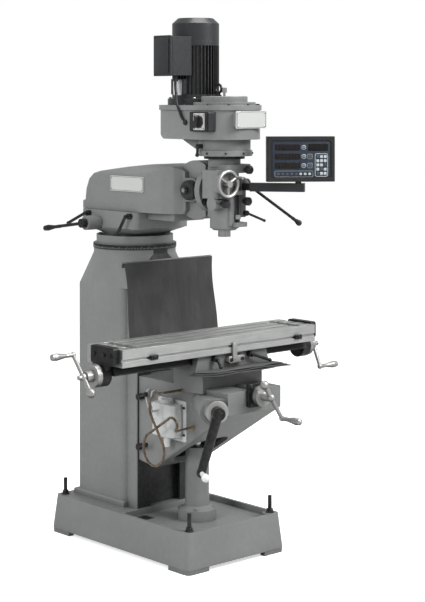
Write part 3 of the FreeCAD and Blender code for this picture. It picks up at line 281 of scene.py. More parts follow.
PAINT_GREY = (0.190, 0.197, 0.193, 1)
PAINT = enamel("paint_grey", PAINT_GREY)
COLUMN_PAINT = enamel("paint_column", PAINT_GREY, ways=True)
DARK_PAINT = enamel("paint_charcoal", (0.022, 0.023, 0.025, 1), 0.34, 0.0018,
                    (0.11, 0.11, 0.115, 1), 0.12)
# the table's dovetail tail, below 0.8385 m, is made dark: oil, and painted shade under the table's
# overhang
TABLE_STEEL = ground_metal("ground_iron", (0.66, 0.67, 0.66, 1), 0.42, "x", oil_and_shade_below=0.8385)
BRIGHT_STEEL = ground_metal("ground_steel", (0.66, 0.66, 0.65, 1), 0.24, "z")
CAST_ALLOY = ground_metal("polished_alloy", (0.50, 0.50, 0.49, 1), 0.40, "y", 0.002, 0.85, 0.35)
DIAL = enamelled_plate("satin_dial", (0.74, 0.75, 0.74, 1), 0.28)
BLACK_STEEL = black_metal("black_oxide", 0.035, 0.36)
BLACK_PLASTIC = moulded("black_plastic", (0.018, 0.018, 0.020, 1))
RUBBER = rubber("sheet_rubber", 0.025, 0.34, 0.45)
COVER_RUBBER = rubber("cover_rubber", 0.020, 0.5)
HOSE = oil_hose("oil_hose")
PLATE = enamelled_plate("pale_plate", (0.50, 0.51, 0.50, 1), 0.42)
TANK = moulded("pale_plastic", (0.56, 0.58, 0.575, 1), 0.3, 0.15)
BELT = rubber("belt_rubber", 0.02)
BRASS = ground_metal("brass", (0.60, 0.40, 0.14, 1), 0.3, "z")
INK = moulded("black_ink", (0.012, 0.012, 0.012, 1), 0.5)
FACE = moulded("display_face", (0.020, 0.027, 0.042, 1), 0.32, 0.1)
GLASS = moulded("display_window", (0.0045, 0.004, 0.004, 1), 0.12, 0.0)
KEY = moulded("pale_key", (0.40, 0.44, 0.45, 1), 0.4)
KEY_DARK = moulded("dark_key", (0.05, 0.062, 0.075, 1), 0.45)
UNLIT = moulded("unlit_segment", (0.022, 0.010, 0.010, 1), 0.3)

SLOT_FINISH = {
    "grey_enamel": PAINT, "dark_enamel": DARK_PAINT, "machined": BRIGHT_STEEL,
    "light_castings": CAST_ALLOY, "black_steel": BLACK_STEEL, "black_plastic": BLACK_PLASTIC,
    "black_rubber": RUBBER, "belt_rubber": BELT, "plate": PLATE, "oil_tube": HOSE,
    "bearing_steel": BRIGHT_STEEL, "lubricator_plate": TANK,
}
NODE_FINISH = {"table": TABLE_STEEL, "depth_stop_screw": BLACK_STEEL, "splash_bar": CAST_ALLOY,
               "column": COLUMN_PAINT}


def finish_cad_nodes():
    for part in frame["record"]["subparts"]:
        shown = nodes[part["node"]]
        material = NODE_FINISH.get(part["node"], SLOT_FINISH[part["material_slot"]])
        if shown.material_slots:
            for place in shown.material_slots:
                place.material = material
        else:
            shown.data.materials.append(material)


# ---------------------------------------------------------------- mesh helpers


def piece(name, mesh_builder, material, body, smooth=40):
    """Turns a bmesh into a shown piece that rides on a body."""
    mesh = bpy.data.meshes.new(name)
    bmesh.ops.recalc_face_normals(mesh_builder, faces=mesh_builder.faces)
    mesh_builder.to_mesh(mesh)
    mesh_builder.free()
    mesh.materials.append(material)
    made = bpy.data.objects.new(name, mesh)
    bpy.context.scene.collection.objects.link(made)
    for face in mesh.polygons:
        face.use_smooth = True
    mesh.set_sharp_from_angle(angle=math.radians(smooth))
    if body:
        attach(made, body)
    return made


def facing(origin, out, up=(0, 0, 1)):
    """A frame at origin: local Z points out of a surface, local Y points up along it."""
    z = Vector(out).normalized()
    y = Vector(up) - z * z.dot(Vector(up))
    y.normalize()
    x = y.cross(z)
    turn = Matrix((x, y, z)).transposed().to_4x4()
    return Matrix.Translation(Vector(origin)) @ turn


def lathe(builder, place, profile, steps=32):
    """Adds a closed turned solid: profile is (radius, height) from one axis point to the other."""
    rings = []
    for radius, height in profile:
        if radius < 1e-7:
            rings.append([builder.verts.new(place @ Vector((0, 0, height)))])
            continue
        rings.append([builder.verts.new(place @ Vector((
            radius * math.cos(math.tau * k / steps), radius * math.sin(math.tau * k / steps),
            height))) for k in range(steps)])
    for low, high in zip(rings, rings[1:]):
        for k in range(steps):
            after = (k + 1) % steps
            if len(low) == 1:
                builder.faces.new((low[0], high[after], high[k]))
            elif len(high) == 1:
                builder.faces.new((low[k], low[after], high[0]))
            else:
                builder.faces.new((low[k], low[after], high[after], high[k]))


def rounded_outline(width, height, corner, steps=5):
    points = []
    for sx, sy, start in ((1, 1, 0), (-1, 1, 90), (-1, -1, 180), (1, -1, 270)):
        for k in range(steps + 1):
            angle = math.radians(start + 90 * k / steps)
            points.append((sx * (width / 2 - corner) + corner * math.cos(angle),
                           sy * (height / 2 - corner) + corner * math.sin(angle)))
    return points


def panel(builder, place, width, height, low, high, corner, bevel=0.0):
    """Adds a closed plate with round corners, from local Z low to high, its top edge eased."""
    layers = [(low, 0.0), (high - bevel, 0.0)]
    if bevel:
        layers.append((high - 0.3 * bevel, 0.3 * bevel))
        layers.append((high, bevel))
    loops = []
    for z, inset in layers:
        outline = rounded_outline(width - 2 * inset, height - 2 * inset,
                                  max(corner - inset, corner * 0.3))
        loops.append([builder.verts.new(place @ Vector((x, y, z))) for x, y in outline])
    count = len(loops[0])
    for lower, upper in zip(loops, loops[1:]):
        for k in range(count):
            after = (k + 1) % count
            builder.faces.new((lower[k], lower[after], upper[after], upper[k]))
    builder.faces.new(list(reversed(loops[0])))
    builder.faces.new(loops[-1])


def border(builder, place, width, height, corner, line, low, high):
    """Adds a closed raised frame line."""
    outer = rounded_outline(width, height, corner)
    inner = rounded_outline(width - 2 * line, height - 2 * line, max(corner - line, line))
    rings = [[builder.verts.new(place @ Vector((x, y, z))) for x, y in outline]
             for outline, z in ((outer, low), (outer, high), (inner, high), (inner, low))]
    count = len(outer)
    for step in range(4):
        lower, upper = rings[step], rings[(step + 1) % 4]
        for k in range(count):
            after = (k + 1) % count
            builder.faces.new((lower[k], lower[after], upper[after], upper[k]))


def cap_screw(builder, place, radius, height):
    """A socket head cap screw: eased rim and a hexagonal socket."""
    steps = 24
    rim = [(radius, -0.001), (radius, height * 0.85), (radius * 0.9, height)]
    rings = [[builder.verts.new(place @ Vector((
        r * math.cos(math.tau * k / steps), r * math.sin(math.tau * k / steps), z)))
        for k in range(steps)] for r, z in rim]
    for z in (height, height * 0.4):
        hexagon = []
        for k in range(steps):
            angle = math.tau * k / steps
            side = radius * 0.5 * math.cos(math.pi / 6)
            reach = side / math.cos((angle % (math.pi / 3)) - math.pi / 6)
            hexagon.append(builder.verts.new(place @ Vector((
                reach * math.cos(angle), reach * math.sin(angle), z))))
        rings.append(hexagon)
    for lower, upper in zip(rings, rings[1:]):
        for k in range(steps):
            after = (k + 1) % steps
            builder.faces.new((lower[k], lower[after], upper[after], upper[k]))
    builder.faces.new(list(reversed(rings[0])))
    builder.faces.new(rings[-1])


def tube(builder, points, radius, sides=12, per_span=8):
    """Adds a closed round hose through points, smoothed as a Catmull-Rom curve."""
    path = [Vector(p) for p in points]
    ends = [path[0] * 2 - path[1]] + path + [path[-1] * 2 - path[-2]]
    line = []
    for a, b, c, d in zip(ends, ends[1:], ends[2:], ends[3:]):
        for k in range(per_span):
            t = k / per_span
            line.append(0.5 * (2 * b + (c - a) * t + (2 * a - 5 * b + 4 * c - d) * t * t
                               + (3 * b - 3 * c + d - a) * t ** 3))
    line.append(path[-1])
    side = Vector((0.3, 0.2, 1)).normalized()
    rings = []
    for k, point in enumerate(line):
        along = (line[min(k + 1, len(line) - 1)] - line[max(k - 1, 0)]).normalized()
        side = (side - along * side.dot(along)).normalized()
        other = along.cross(side)
        rings.append([builder.verts.new(point + radius * (
            side * math.cos(math.tau * s / sides) + other * math.sin(math.tau * s / sides)))
            for s in range(sides)])
    for lower, upper in zip(rings, rings[1:]):
        for s in range(sides):
            after = (s + 1) % sides
            builder.faces.new((lower[s], lower[after], upper[after], upper[s]))
    builder.faces.new(list(reversed(rings[0])))
    builder.faces.new(rings[-1])


def tick_ring(builder, place, radius, count, long_every, depth=0.0006):
    """Graduations around a turned dial whose axis is local Z; each is a thin raised bar."""
    for k in range(count):
        angle = math.tau * k / count
        length = 0.0085 if k % long_every == 0 else 0.0048
        out = Vector((math.cos(angle), math.sin(angle), 0))
        across = Vector((-math.sin(angle), math.cos(angle), 0)) * 0.00045
        corners = []
        for reach in (radius - 0.001, radius + depth):
            for z in (0, length):
                for side in (-1, 1):
                    corners.append(builder.verts.new(
                        place @ (out * reach + across * side + Vector((0, 0, z)))))
        a = corners
        for quad in ((0, 1, 3, 2), (4, 6, 7, 5), (0, 4, 5, 1), (2, 3, 7, 6), (0, 2, 6, 4),
                     (1, 5, 7, 3)):
            builder.faces.new([a[i] for i in quad])


def centre(node):
    low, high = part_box(node)
    return (low + high) / 2


KNEE_CRANK_AXIS = Vector((0, -0.200, 0.642))

finish_cad_nodes()


# ---------------------------------------------------------------- rubber sheet


def splash_sheet():
    """The rubber sheet hangs from its bar, bellies towards the column and fans into shallow folds."""
    low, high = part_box("splash_sheet")
    across, down = 72, 56
    thick = 0.003
    builder = bmesh.new()
    grids = []
    for side in (0, 1):
        grid = []
        for j in range(down + 1):
            t = j / down
            row = []
            for i in range(across + 1):
                u = i / across
                half = (high.x - low.x) / 2 - 0.004
                waist = 1 - 0.055 * math.sin(math.pi * min(1, t * 1.25)) * (1 - t)
                x = (low.x + high.x) / 2 + half * waist * (2 * u - 1)
                z = high.z - (high.z - low.z) * t
                # folds start under the two outer screws and die out towards the middle
                fold = 0.0035 * t * math.sin(math.tau * 3.5 * u + 1.2 * math.sin(math.tau * u))
                belly = 0.010 * math.sin(math.pi * t) * math.sin(math.pi * u)
                lean = (low.y + 0.010) + (high.y - low.y - 0.020) * (1 - t)
                ripple = 0.0012 * t * noise.noise(Vector((x * 9, z * 7, 4.0)))
                y = lean + fold + belly + ripple + side * thick
                row.append(builder.verts.new((x, y, z)))
            grid.append(row)
        grids.append(grid)
    close_sheet(builder, *grids)
    made = piece("rubber_splash_sheet", builder, RUBBER, "base", 60)
    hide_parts("splash_sheet")
    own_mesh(made)


# ---------------------------------------------------------------- head details


def display():
    """Readout case front: bezel, dark windows with unlit digits, axis keys and a keypad."""
    middle = centre("dro_display")
    turn = math.radians(-36)
    out = Vector((math.sin(turn), -math.cos(turn), 0))
    width, height, half_depth = 0.270, 0.178, 0.026
    face = facing(middle + out * half_depth, out)

    def cell_at(x, y, z=0.0):
        """A place on the face, with x and y as shares of its width and height from the middle."""
        return face @ Matrix.Translation((x * width, y * height, z))

    parts = bmesh.new()
    panel(parts, cell_at(0, 0.01), 0.231, 0.137, -0.001, 0.0012, 0.005, 0.0006)
    piece("readout_face", parts, FACE, "head")

    parts = bmesh.new()
    border(parts, cell_at(0, 0), width - 0.006, height - 0.006, 0.010, 0.012, -0.001, 0.004)
    piece("readout_bezel", parts, BLACK_PLASTIC, "head")

    parts = bmesh.new()
    rows = (0.26, 0.06, -0.14)
    for y in rows:
        panel(parts, cell_at(-0.205, y), 0.099, 0.024, 0.0011, 0.0021, 0.002, 0.0004)
    panel(parts, cell_at(0.245, 0.26), 0.079, 0.028, 0.0011, 0.0021, 0.002, 0.0004)
    piece("readout_windows", parts, GLASS, "head")

    parts = bmesh.new()
    digit_height, digit_width, line = 0.0145, 0.0069, 0.0012
    for y in rows:
        for k in range(7):
            base = cell_at(-0.205, y, 0.0021) @ Matrix.Translation(((k - 3) * 0.0130, 0, 0))
            for level in (-1, 0, 1):
                bar = base @ Matrix.Translation((0, level * digit_height / 2, 0))
                panel(parts, bar, digit_width, line, -0.0004, 0.0003, 0.0005)
            for sx in (-1, 1):
                for sy in (-1, 1):
                    bar = base @ Matrix.Translation((sx * digit_width / 2,
                                                     sy * digit_height / 4, 0))
                    panel(parts, bar, line, digit_height * 0.4, -0.0004, 0.0003, 0.0005)
    piece("readout_segments", parts, UNLIT, "head")

    pale, dark, ring_parts = bmesh.new(), bmesh.new(), bmesh.new()
    for y in rows:
        spot = cell_at(0.035, y, 0.001)
        lathe(ring_parts, spot, [(0, 0), (0.0092, 0), (0.0092, 0.0016), (0.0078, 0.0022),
                                 (0, 0.0022)])
        lathe(dark, spot, [(0, 0.0018), (0.0066, 0.0018), (0.0066, 0.0034), (0.0055, 0.004),
                           (0, 0.004)])
        lathe(pale, spot, [(0, 0.0038), (0.0022, 0.0038), (0.0022, 0.0046), (0, 0.0046)])
    for y in (0.06, -0.14):
        border(ring_parts, cell_at(0.125, y), 0.020, 0.020, 0.003, 0.0010, 0.0008, 0.0022)
        panel(dark, cell_at(0.125, y), 0.0155, 0.0155, 0.0011, 0.0030, 0.002, 0.0006)
    border(ring_parts, cell_at(0.295, -0.13), 0.052, 0.092, 0.008, 0.0022, 0.0008, 0.0022)
    for row in range(5):
        for column in range(3):
            spot = cell_at(0.295, -0.13) @ Matrix.Translation(
                ((column - 1) * 0.0148, (2 - row) * 0.0166, 0))
            panel(pale if (row + column) % 4 else dark, spot, 0.0114, 0.0115, 0.0011, 0.0034,
                  0.0025, 0.0007)
    border(ring_parts, cell_at(-0.11, -0.325), 0.152, 0.024, 0.005, 0.0010, 0.0008, 0.0020)
    for column in range(8):
        spot = cell_at(-0.11, -0.325) @ Matrix.Translation(((column - 3.5) * 0.0178, 0, 0))
        panel(pale if column > 4 else dark, spot, 0.010, 0.009, 0.0011, 0.0028, 0.002, 0.0005)
    piece("readout_key_rims", ring_parts, KEY, "head")
    piece("readout_pale_keys", pale, KEY, "head")
    piece("readout_dark_keys", dark, KEY_DARK, "head")

    back = facing(middle - out * half_depth, -out)
    parts = bmesh.new()
    for sx in (-1, 1):
        for sy in (-1, 1):
            cap_screw(parts, back @ Matrix.Translation((sx * 0.119, sy * 0.072, 0)), 0.004,
                      0.003)
    piece("readout_back_screws", parts, BLACK_STEEL, "head")
    parts = bmesh.new()
    panel(parts, back @ Matrix.Translation((0, 0.01, 0)), 0.15, 0.09, -0.001, 0.003, 0.006,
          0.001)
    for k in range(9):
        slot_place = back @ Matrix.Translation((0, 0.042 - k * 0.008, 0.0028))
        panel(parts, slot_place, 0.12, 0.003, -0.001, 0.0018, 0.0012, 0.0004)
    piece("readout_back_vents", parts, BLACK_PLASTIC, "head")


def switch_details():
    """Pale square plate behind the selector, with a position dial and its corner screws."""
    box_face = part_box("switch_box")[0].x
    spindle = centre("switch_knob")
    plate_place = facing((box_face, spindle.y, spindle.z), (-1, 0, 0))
    parts = bmesh.new()
    border(parts, plate_place, 0.066, 0.066, 0.004, 0.0185, -0.0008, 0.0012)
    piece("switch_plate", parts, PLATE, "head")
    parts = bmesh.new()
    for sx in (-1, 1):
        for sy in (-1, 1):
            cap_screw(parts, plate_place @ Matrix.Translation((sx * 0.027, sy * 0.027, 0.001)),
                      0.0024, 0.0016)
    for bearing in (-40, 0, 40):
        mark = plate_place @ Matrix.Rotation(math.radians(bearing), 4, "Z")
        panel(parts, mark @ Matrix.Translation((0, 0.0285, 0.0011)), 0.0016, 0.006, -0.0005,
              0.0003, 0.0005)
    piece("switch_marks", parts, INK, "head")
    parts = bmesh.new()
    pointer = facing((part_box("switch_knob")[0].x, spindle.y, spindle.z), (-1, 0, 0))
    panel(parts, pointer @ Matrix.Translation((0, 0.012, 0)), 0.0018, 0.016, -0.0008, 0.0005,
          0.0008)
    piece("switch_pointer", parts, PLATE, "switch")


def rim_screws():
    """Cap screws on the belt cover, the gear housing and the motor flange."""
    spindle, motor = centre("spindle_pulley"), centre("motor_rotor")
    cover_low, cover_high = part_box("belt_cover")
    lip_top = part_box("belt_housing")[1].z + 20 * MM
    reach = (cover_high.x - cover_low.x) / 2 - 10 * MM
    parts = bmesh.new()
    for bearing in (200, 235, 270, 305, 340):
        angle = math.radians(bearing)
        cap_screw(parts, Matrix.Translation((spindle.x + reach * math.cos(angle),
                                             spindle.y + reach * math.sin(angle), lip_top)),
                  0.0055, 0.005)
    for x in (-reach, reach):
        cap_screw(parts, Matrix.Translation((x, (spindle.y + motor.y) / 2, lip_top)),
                  0.0055, 0.005)
    piece("belt_cover_screws", parts, BLACK_STEEL, "head")
    flange_reach = 104 * MM
    flange_top = 1845 * MM
    parts = bmesh.new()
    for bearing in (45, 135, 225, 315):
        angle = math.radians(bearing)
        cap_screw(parts, Matrix.Translation((motor.x + flange_reach * math.cos(angle),
                                             motor.y + flange_reach * math.sin(angle),
                                             flange_top)), 0.006, 0.006)
    piece("motor_flange_screws", parts, BRIGHT_STEEL, "head")
    gear_low, gear_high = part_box("gear_housing")
    radius = (gear_high.x - gear_low.x) / 2
    parts = bmesh.new()
    for bearing in (190, 230, 270, 310, 350):
        angle = math.radians(bearing)
        out = (math.cos(angle), math.sin(angle), 0)
        spot = (spindle.x + radius * out[0], spindle.y + radius * out[1], gear_low.z + 0.011)
        cap_screw(parts, facing(spot, out), 0.004, 0.004)
    piece("gear_housing_screws", parts, BLACK_STEEL, "head")


def motor_details():
    """Rating plate without lettering, the terminal-box lid and the supply cable."""
    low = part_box("motor_body")[0]
    box_low, box_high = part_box("terminal_box")
    parts = bmesh.new()
    place = facing((low.x + 16 * MM, -0.191, 1.890), (-1, 0, 0))
    panel(parts, place, 0.052, 0.062, -0.001, 0.0012, 0.003, 0.0005)
    piece("motor_rating_plate", parts, PLATE, "head")
    parts = bmesh.new()
    for sx in (-1, 1):
        for sz in (-1, 1):
            cap_screw(parts, place @ Matrix.Translation((sx * 0.022, sz * 0.027, 0.001)),
                      0.0018, 0.0014)
    piece("rating_plate_rivets", parts, BRIGHT_STEEL, "head")
    middle = (box_low + box_high) / 2
    parts = bmesh.new()
    lid = facing((box_low.x, middle.y, middle.z + 0.010), (-1, 0, 0))
    panel(parts, lid, 0.084, 0.142, -0.002, 0.003, 0.008, 0.002)
    piece("terminal_lid_panel", parts, DARK_PAINT, "head")
    parts = bmesh.new()
    tube(parts, [(-0.130, -0.215, 1.922), (-0.130, -0.215, 1.895), (-0.134, -0.226, 1.860),
                 (-0.150, -0.248, 1.825), (-0.151, -0.262, 1.800), (-0.150, -0.278, 1.770),
                 (-0.143, -0.292, 1.752)], 0.0055)
    piece("motor_cable", parts, BLACK_PLASTIC, "head")
    parts = bmesh.new()
    lathe(parts, facing((-0.1415, -0.294, 1.750), (-1, 0, 0)),
          [(0, -0.004), (0.011, -0.004), (0.011, 0.006), (0.008, 0.010), (0, 0.010)])
    piece("cable_gland", parts, BLACK_PLASTIC, "head")


def badge(name, node, body, out):
    """A plain plate with a thin raised rim and corner rivets."""
    low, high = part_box(node)
    middle = (low + high) / 2
    normal = Vector(out)
    half = Vector((high.x - low.x, high.y - low.y, high.z - low.z)) / 2
    surface = middle + Vector([n * h for n, h in zip(normal, half)])
    wide = 2 * (half.y if abs(normal.x) > 0.5 else half.x)
    tall = 2 * half.z
    place = facing(surface, out)
    parts = bmesh.new()
    border(parts, place, wide - 0.006, tall - 0.006, 0.006, 0.0016, -0.0008, 0.0010)
    piece(name + "_rim", parts, BRIGHT_STEEL, body)
    parts = bmesh.new()
    for sx in (-1, 1):
        for sz in (-1, 1):
            spot = place @ Matrix.Translation((sx * (wide / 2 - 0.009),
                                               sz * (tall / 2 - 0.009), 0))
            lathe(parts, spot, [(0, -0.0005), (0.0026, -0.0005), (0.0024, 0.0012),
                                (0.0012, 0.0018), (0, 0.0019)], 16)
    piece(name + "_rivets", parts, BRIGHT_STEEL, body)


# ---------------------------------------------------------------- saddle and knee details


def rubber_leaf(builder, index, low, high):
    """One wavy sheet of the way cover; its free edge droops and curls."""
    across, along, thick = 60, 20, 0.0018
    left = low.x + 0.004 + 0.010 * index
    right = high.x - 0.004 - 0.014 * index
    front = low.y + 0.004 + 0.012 * index
    back = high.y - 0.001
    seed = 3.7 * index
    sheets = []
    for side in (0, 1):
        sheet = []
        for j in range(along + 1):
            t = j / along
            row = []
            for i in range(across + 1):
                u = i / across
                # the left corner is cut off at a slant
                reach = 1 - 0.55 * max(0.0, 0.16 - u) / 0.16
                ragged = 0.004 * noise.noise(Vector((u * 14, seed, 0.3))) * t
                x = left + (right - left) * u
                y = back + (front - back) * t * reach + ragged
                swell = 0.5 + 0.5 * noise.noise(Vector((u * 5, t * 2, seed)))
                z = (low.z + 0.0022 + 0.0046 * index
                     + 0.0036 * t * swell * math.sin(7 * u + 1.3 * index + 2 * t) ** 2
                     + side * thick)
                row.append(builder.verts.new((x, y, z)))
            sheet.append(row)
        sheets.append(sheet)
    close_sheet(builder, *sheets)


def close_sheet(builder, front, back):
    """Joins two grids of vertices into one closed thin sheet."""
    down, across = len(front) - 1, len(front[0]) - 1
    for j in range(down):
        for i in range(across):
            builder.faces.new((front[j][i], front[j + 1][i], front[j + 1][i + 1],
                               front[j][i + 1]))
            builder.faces.new((back[j][i], back[j][i + 1], back[j + 1][i + 1],
                               back[j + 1][i]))
    rim = ([(j, 0) for j in range(down)] + [(down, i) for i in range(across)]
           + [(j, across) for j in range(down, 0, -1)] + [(0, i) for i in range(across, 0, -1)])
    for k, (j, i) in enumerate(rim):
        j_next, i_next = rim[(k + 1) % len(rim)]
        builder.faces.new((front[j][i], back[j][i], back[j_next][i_next],
                           front[j_next][i_next]))


def way_covers():
    """Three loose rubber leaves over the knee's front ways, and the table stop's bracket."""
    low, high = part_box("saddle_fittings")
    parts = bmesh.new()
    for index in range(3):
        rubber_leaf(parts, index, low, high)
    covers = piece("way_cover_leaves", parts, COVER_RUBBER, "saddle", 60)

    plate_front = high.y - 0.024
    parts = bmesh.new()
    foot = facing((0, plate_front + 0.012, 0.8115), (0, -1, 0))
    panel(parts, foot, 0.084, 0.029, -0.012, 0.012, 0.010, 0.002)
    post_top, post_back = high.z, -0.437
    post = facing((-0.013, post_back - 0.0035, (post_top + 0.812) / 2), (0, -1, 0))
    panel(parts, post, 0.022, post_top - 0.812, -0.0035, 0.0035, 0.003, 0.001)
    piece("table_stop_bracket", parts, CAST_ALLOY, "saddle")
    parts = bmesh.new()
    for x in (-0.030, 0.030):
        cap_screw(parts, facing((x, plate_front, 0.811), (0, -1, 0)), 0.008, 0.003)
    piece("stop_bracket_screws", parts, BLACK_STEEL, "saddle")
    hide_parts("saddle_fittings")


def bend(middle, radius, start, end, steps=6):
    """A round bend in the plane of the knee's flank, between two bearings in degrees, as (y, z)."""
    angles = [math.radians(start + (end - start) * k / steps) for k in range(steps + 1)]
    return [(middle[0] + radius * math.cos(a), middle[1] + radius * math.sin(a)) for a in angles]


def run(start, end, steps):
    """The evenly spaced places of a straight run, without its two ends."""
    return [(start[0] + (end[0] - start[0]) * k / steps, start[1] + (end[1] - start[1]) * k / steps)
            for k in range(1, steps)]


def oil_hoses():
    """Oil hoses: the long loop over the lubricator, thin clear lines, and their brass fittings."""
    tank_face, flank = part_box("lubricator")[0].x, -0.142
    hose_radius, fitting_length = 0.0052, 0.023
    reach = tank_face - hose_radius - 0.0008
    step_out = 2 * hose_radius + 0.0012
    over = bend((-0.290, 0.625), 0.065, 97, -40)
    loop = bend((-0.244, 0.463), 0.068, 155, 400, 10)
    hook = bend((-0.346, 0.567), 0.032, 45, 210)
    ends = ((-0.290, 0.688), (-0.341, 0.546))
    # the hose crosses over itself, so it starts further out and comes in along its lower loop
    path = [(flank - fitting_length, *ends[0])]
    path += [(reach - step_out, y, z) for y, z in over + run(over[-1], loop[0], 4)]
    path += [(reach - step_out * (1 - k / (len(loop) - 1)), y, z)
             for k, (y, z) in enumerate(loop)]
    path += [(reach, y, z) for y, z in run(loop[-1], hook[0], 5) + hook]
    path.append((flank - fitting_length, *ends[1]))
    parts = bmesh.new()
    tube(parts, path, hose_radius)
    hoses = piece("oil_hose_loop", parts, HOSE, "knee")
    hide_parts("oil_lines")
    parts = bmesh.new()
    for start_y, depth in ((-0.150, 0.0), (-0.118, 0.010)):
        tube(parts, [(-0.146, start_y, 0.560 - depth), (-0.158, start_y + 0.006, 0.566),
                     (-0.164, start_y + 0.030, 0.590), (-0.163, start_y + 0.046, 0.625),
                     (-0.158, start_y + 0.048, 0.652), (-0.146, start_y + 0.046, 0.660)],
             0.0026)
    piece("clear_oil_lines", parts, TANK, "knee")
    parts = bmesh.new()
    for y, z in (*ends, (-0.118, 0.556), (-0.150, 0.566)):
        lathe(parts, facing((flank, y, z), (-1, 0, 0)),
              [(0, 0), (0.0062, 0), (0.0062, 0.006), (0.0042, 0.008), (0.0042, 0.014),
               (0.0068, 0.015), (0.0068, 0.021), (0.0045, fitting_length),
               (0, fitting_length)], 6)
    piece("brass_fittings", parts, BRASS, "knee")


def lubricator_details():
    """Mounting screws on the lubricator."""
    low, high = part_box("lubricator")
    parts = bmesh.new()
    for z in (low.z + 0.052, high.z - 0.030):
        cap_screw(parts, facing((-0.152, low.y + 0.008, z), (-1, 0, 0)), 0.005, 0.004)
    piece("lubricator_screws", parts, BLACK_STEEL, "knee")


def knee_crank_details():
    """The bright graduated ring on the knee crank's dial, and its bright turned handle."""
    out = Vector((-0.507, -0.862, 0))
    place = facing(KNEE_CRANK_AXIS + out * 387 * MM, out)
    parts = bmesh.new()
    lathe(parts, place, [(0.0, 0.0005), (0.0466, 0.0005), (0.0466, 0.006), (0.0440, 0.0202),
                         (0.0420, 0.0212), (0.0, 0.0212)], 64)
    piece("knee_dial_ring", parts, CAST_ALLOY, "knee_crank")
    parts = bmesh.new()
    tick_ring(parts, place @ Matrix.Translation((0, 0, 0.0012)), 0.0462, 50, 5)
    piece("knee_dial_marks", parts, INK, "knee_crank")
    sideways = out.cross(Vector((0, 0, 1)))
    arm_end = KNEE_CRANK_AXIS + out * 0.425 + sideways * 0.066 - Vector((0, 0, 0.224))
    parts = bmesh.new()
    lathe(parts, facing(arm_end + out * 0.006, out),
          [(0, 0.010), (0.0094, 0.010), (0.0088, 0.0294), (0.0128, 0.055), (0.0156, 0.0706),
           (0.0155, 0.080), (0.0136, 0.0912), (0.0080, 0.0976), (0, 0.0990)])
    piece("knee_crank_handle", parts, DIAL, "knee_crank")


def pivot_bolts():
    """Pale bolt heads on the nod pivot's two caps."""
    low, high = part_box("nod_pivot")
    middle = (low + high) / 2
    parts = bmesh.new()
    for x, side in ((low.x, -1), (high.x, 1)):
        lathe(parts, facing((x, middle.y, middle.z), (side, 0, 0)),
              [(0, -0.001), (0.0100, -0.001), (0.0100, 0.005), (0.0085, 0.0065), (0, 0.0065)], 6)
    piece("nod_pivot_bolts", parts, BRIGHT_STEEL, "ram")


def drain_grate():
    """Bars of the strainer that lies over the tray's square drain."""
    low, high = Vector((-0.196, -0.090, 0.128)), Vector((-0.125, -0.022, 0.136))
    middle = (low + high) / 2
    parts = bmesh.new()
    for k in range(7):
        y = low.y + (high.y - low.y) * (k + 0.5) / 7
        panel(parts, Matrix.Translation((middle.x, y, low.z)), high.x - low.x - 0.002, 0.005,
              0.0, 0.0055, 0.0012, 0.0008)
    for x in (low.x + 0.012, middle.x, high.x - 0.012):
        panel(parts, Matrix.Translation((x, middle.y, low.z)), 0.005, high.y - low.y - 0.002,
              -0.0008, 0.0045, 0.0012, 0.0008)
    piece("drain_grate", parts, BLACK_STEEL, "base")


def splash_bar_screws():
    """Cap screws that clamp the sheet under its bar."""
    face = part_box("splash_bar")[0].y
    parts = bmesh.new()
    for x in (-0.190, -0.095, 0.0, 0.095, 0.190):
        cap_screw(parts, facing((x, face, 1.167), (0, -1, 0)), 0.0055, 0.003)
    piece("splash_bar_screws", parts, BLACK_STEEL, "base")


# ---------------------------------------------------------------- dials and scales


def graduations():
    """Tick marks on the feed dials and on the turret's degree ring."""
    axis_y, axis_z = -327.5 * MM, 804 * MM
    for name, side in (("left", -1), ("right", 1)):
        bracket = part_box("table_end_brackets")
        edge = bracket[0].x if side < 0 else bracket[1].x
        parts = bmesh.new()
        tick_ring(parts, facing((edge + side * 0.004, axis_y, axis_z), (side, 0, 0)),
                  0.0412, 50, 5)
        piece(f"table_dial_marks_{name}", parts, INK, "table_screw")
    scale_low, scale_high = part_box("turret_scale")
    middle = (scale_low + scale_high) / 2
    parts = bmesh.new()
    tick_ring(parts, Matrix.Translation((middle.x, middle.y, scale_low.z + 0.004)),
              (scale_high.x - scale_low.x) / 2, 180, 5, 0.0004)
    piece("turret_scale_marks", parts, PLATE, "base")


# ---------------------------------------------------------------- studio


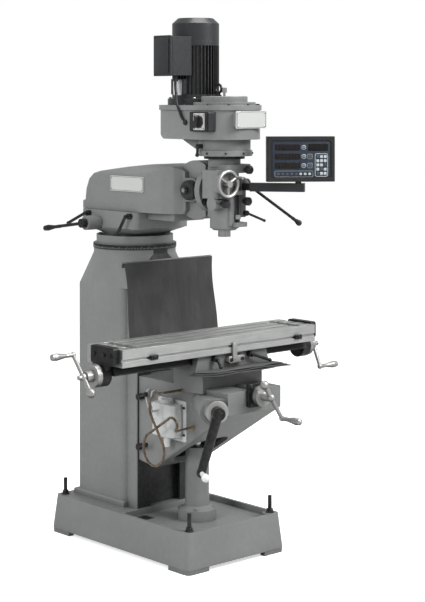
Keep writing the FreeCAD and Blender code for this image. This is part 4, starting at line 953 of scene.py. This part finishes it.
def studio():
    floor_mesh = bmesh.new()
    reach = 14
    corners = [floor_mesh.verts.new((x, y, 0)) for x, y in
               ((-reach, -reach), (reach, -reach), (reach, reach), (-reach, reach))]
    floor_mesh.faces.new(corners)
    floor = piece("floor", floor_mesh, None, None)
    look = Finish("pale_floor")
    # the floor, like the backdrop, shows brighter than it lights the machine
    seen = look.add("ShaderNodeLightPath").outputs["Is Camera Ray"]
    look.set(Base_Color=look.mix(seen, (0.45, 0.45, 0.45, 1), (0.93, 0.93, 0.93, 1)),
             Roughness=0.7, Emission_Color=(1, 1, 1, 1),
             Emission_Strength=look.remap(seen, 0, 1, 0.02, 0.60))
    floor.data.materials.clear()
    floor.data.materials.append(look.material)

    world = bpy.data.worlds.new("studio")
    world.use_nodes = True
    tree = world.node_tree
    background = tree.nodes["Background"]
    background.inputs[0].default_value = (1, 1, 1, 1)
    # the backdrop shows white, and lights the machine less than it shows
    path = tree.nodes.new("ShaderNodeLightPath")
    level = tree.nodes.new("ShaderNodeMapRange")
    level.inputs[3].default_value = 0.45
    level.inputs[4].default_value = 1.0
    tree.links.new(path.outputs["Is Camera Ray"], level.inputs[0])
    tree.links.new(level.outputs[0], background.inputs[1])
    bpy.context.scene.world = world
    bpy.context.scene.view_settings.view_transform = "Standard"
    target = Vector((0, -0.1, 1.05))
    for name, place, power, width in (
            ("key", (1.9, -4.4, 4.6), 330, 2.2), ("fill", (-4.8, -1.0, 2.6), 150, 2.0),
            ("top", (0.4, -0.6, 4.8), 80, 2.2), ("rim", (-1.5, 3.6, 2.8), 60, 2.0)):
        lamp = bpy.data.lights.new(name, "AREA")
        lamp.energy = power
        lamp.size = width
        lit = bpy.data.objects.new(name, lamp)
        lit.location = place
        # the two low lights would show as white glare on level faces, seen from across the machine
        lit.visible_glossy = name in ("key", "top")
        lit.rotation_euler = (target - Vector(place)).to_track_quat("-Z", "Y").to_euler()
        bpy.context.scene.collection.objects.link(lit)


def camera():
    """A level view from the machine's left front.

    The lens is shifted down, so uprights stay upright and the machine is still in the middle. The
    shift holds at this standpoint only: it fades out when the camera is moved round the machine.
    """
    stand = Vector((-4.349, -5.124, 1.859))
    shift, reach = -0.342, 0.02
    lens = bpy.data.cameras.new("camera")
    lens.sensor_fit = "VERTICAL"
    lens.sensor_height = 36
    lens.lens = 96.3
    shot = bpy.data.objects.new("camera", lens)
    shot.location = stand
    shot.rotation_euler = (math.radians(90), 0, math.radians(-42))
    bpy.context.scene.collection.objects.link(shot)
    bpy.context.scene.camera = shot
    curve = lens.driver_add("shift_y")
    curve.driver.type = "AVERAGE"
    where = curve.driver.variables.new()
    where.type = "TRANSFORMS"
    where.targets[0].id = shot
    where.targets[0].transform_type = "LOC_X"
    for modifier in list(curve.modifiers):
        curve.modifiers.remove(modifier)
    for place, amount in ((stand.x - reach, 0.0), (stand.x, shift), (stand.x + reach, 0.0)):
        curve.keyframe_points.insert(place, amount).interpolation = "LINEAR"


splash_sheet()
display()
switch_details()
rim_screws()
motor_details()
badge("ram_badge", "ram_badge", "ram", (-1, 0, 0))
badge("head_badge", "head_badge", "head", (0, -1, 0))
way_covers()
oil_hoses()
lubricator_details()
knee_crank_details()
pivot_bolts()
drain_grate()
splash_bar_screws()
graduations()
studio()
camera()
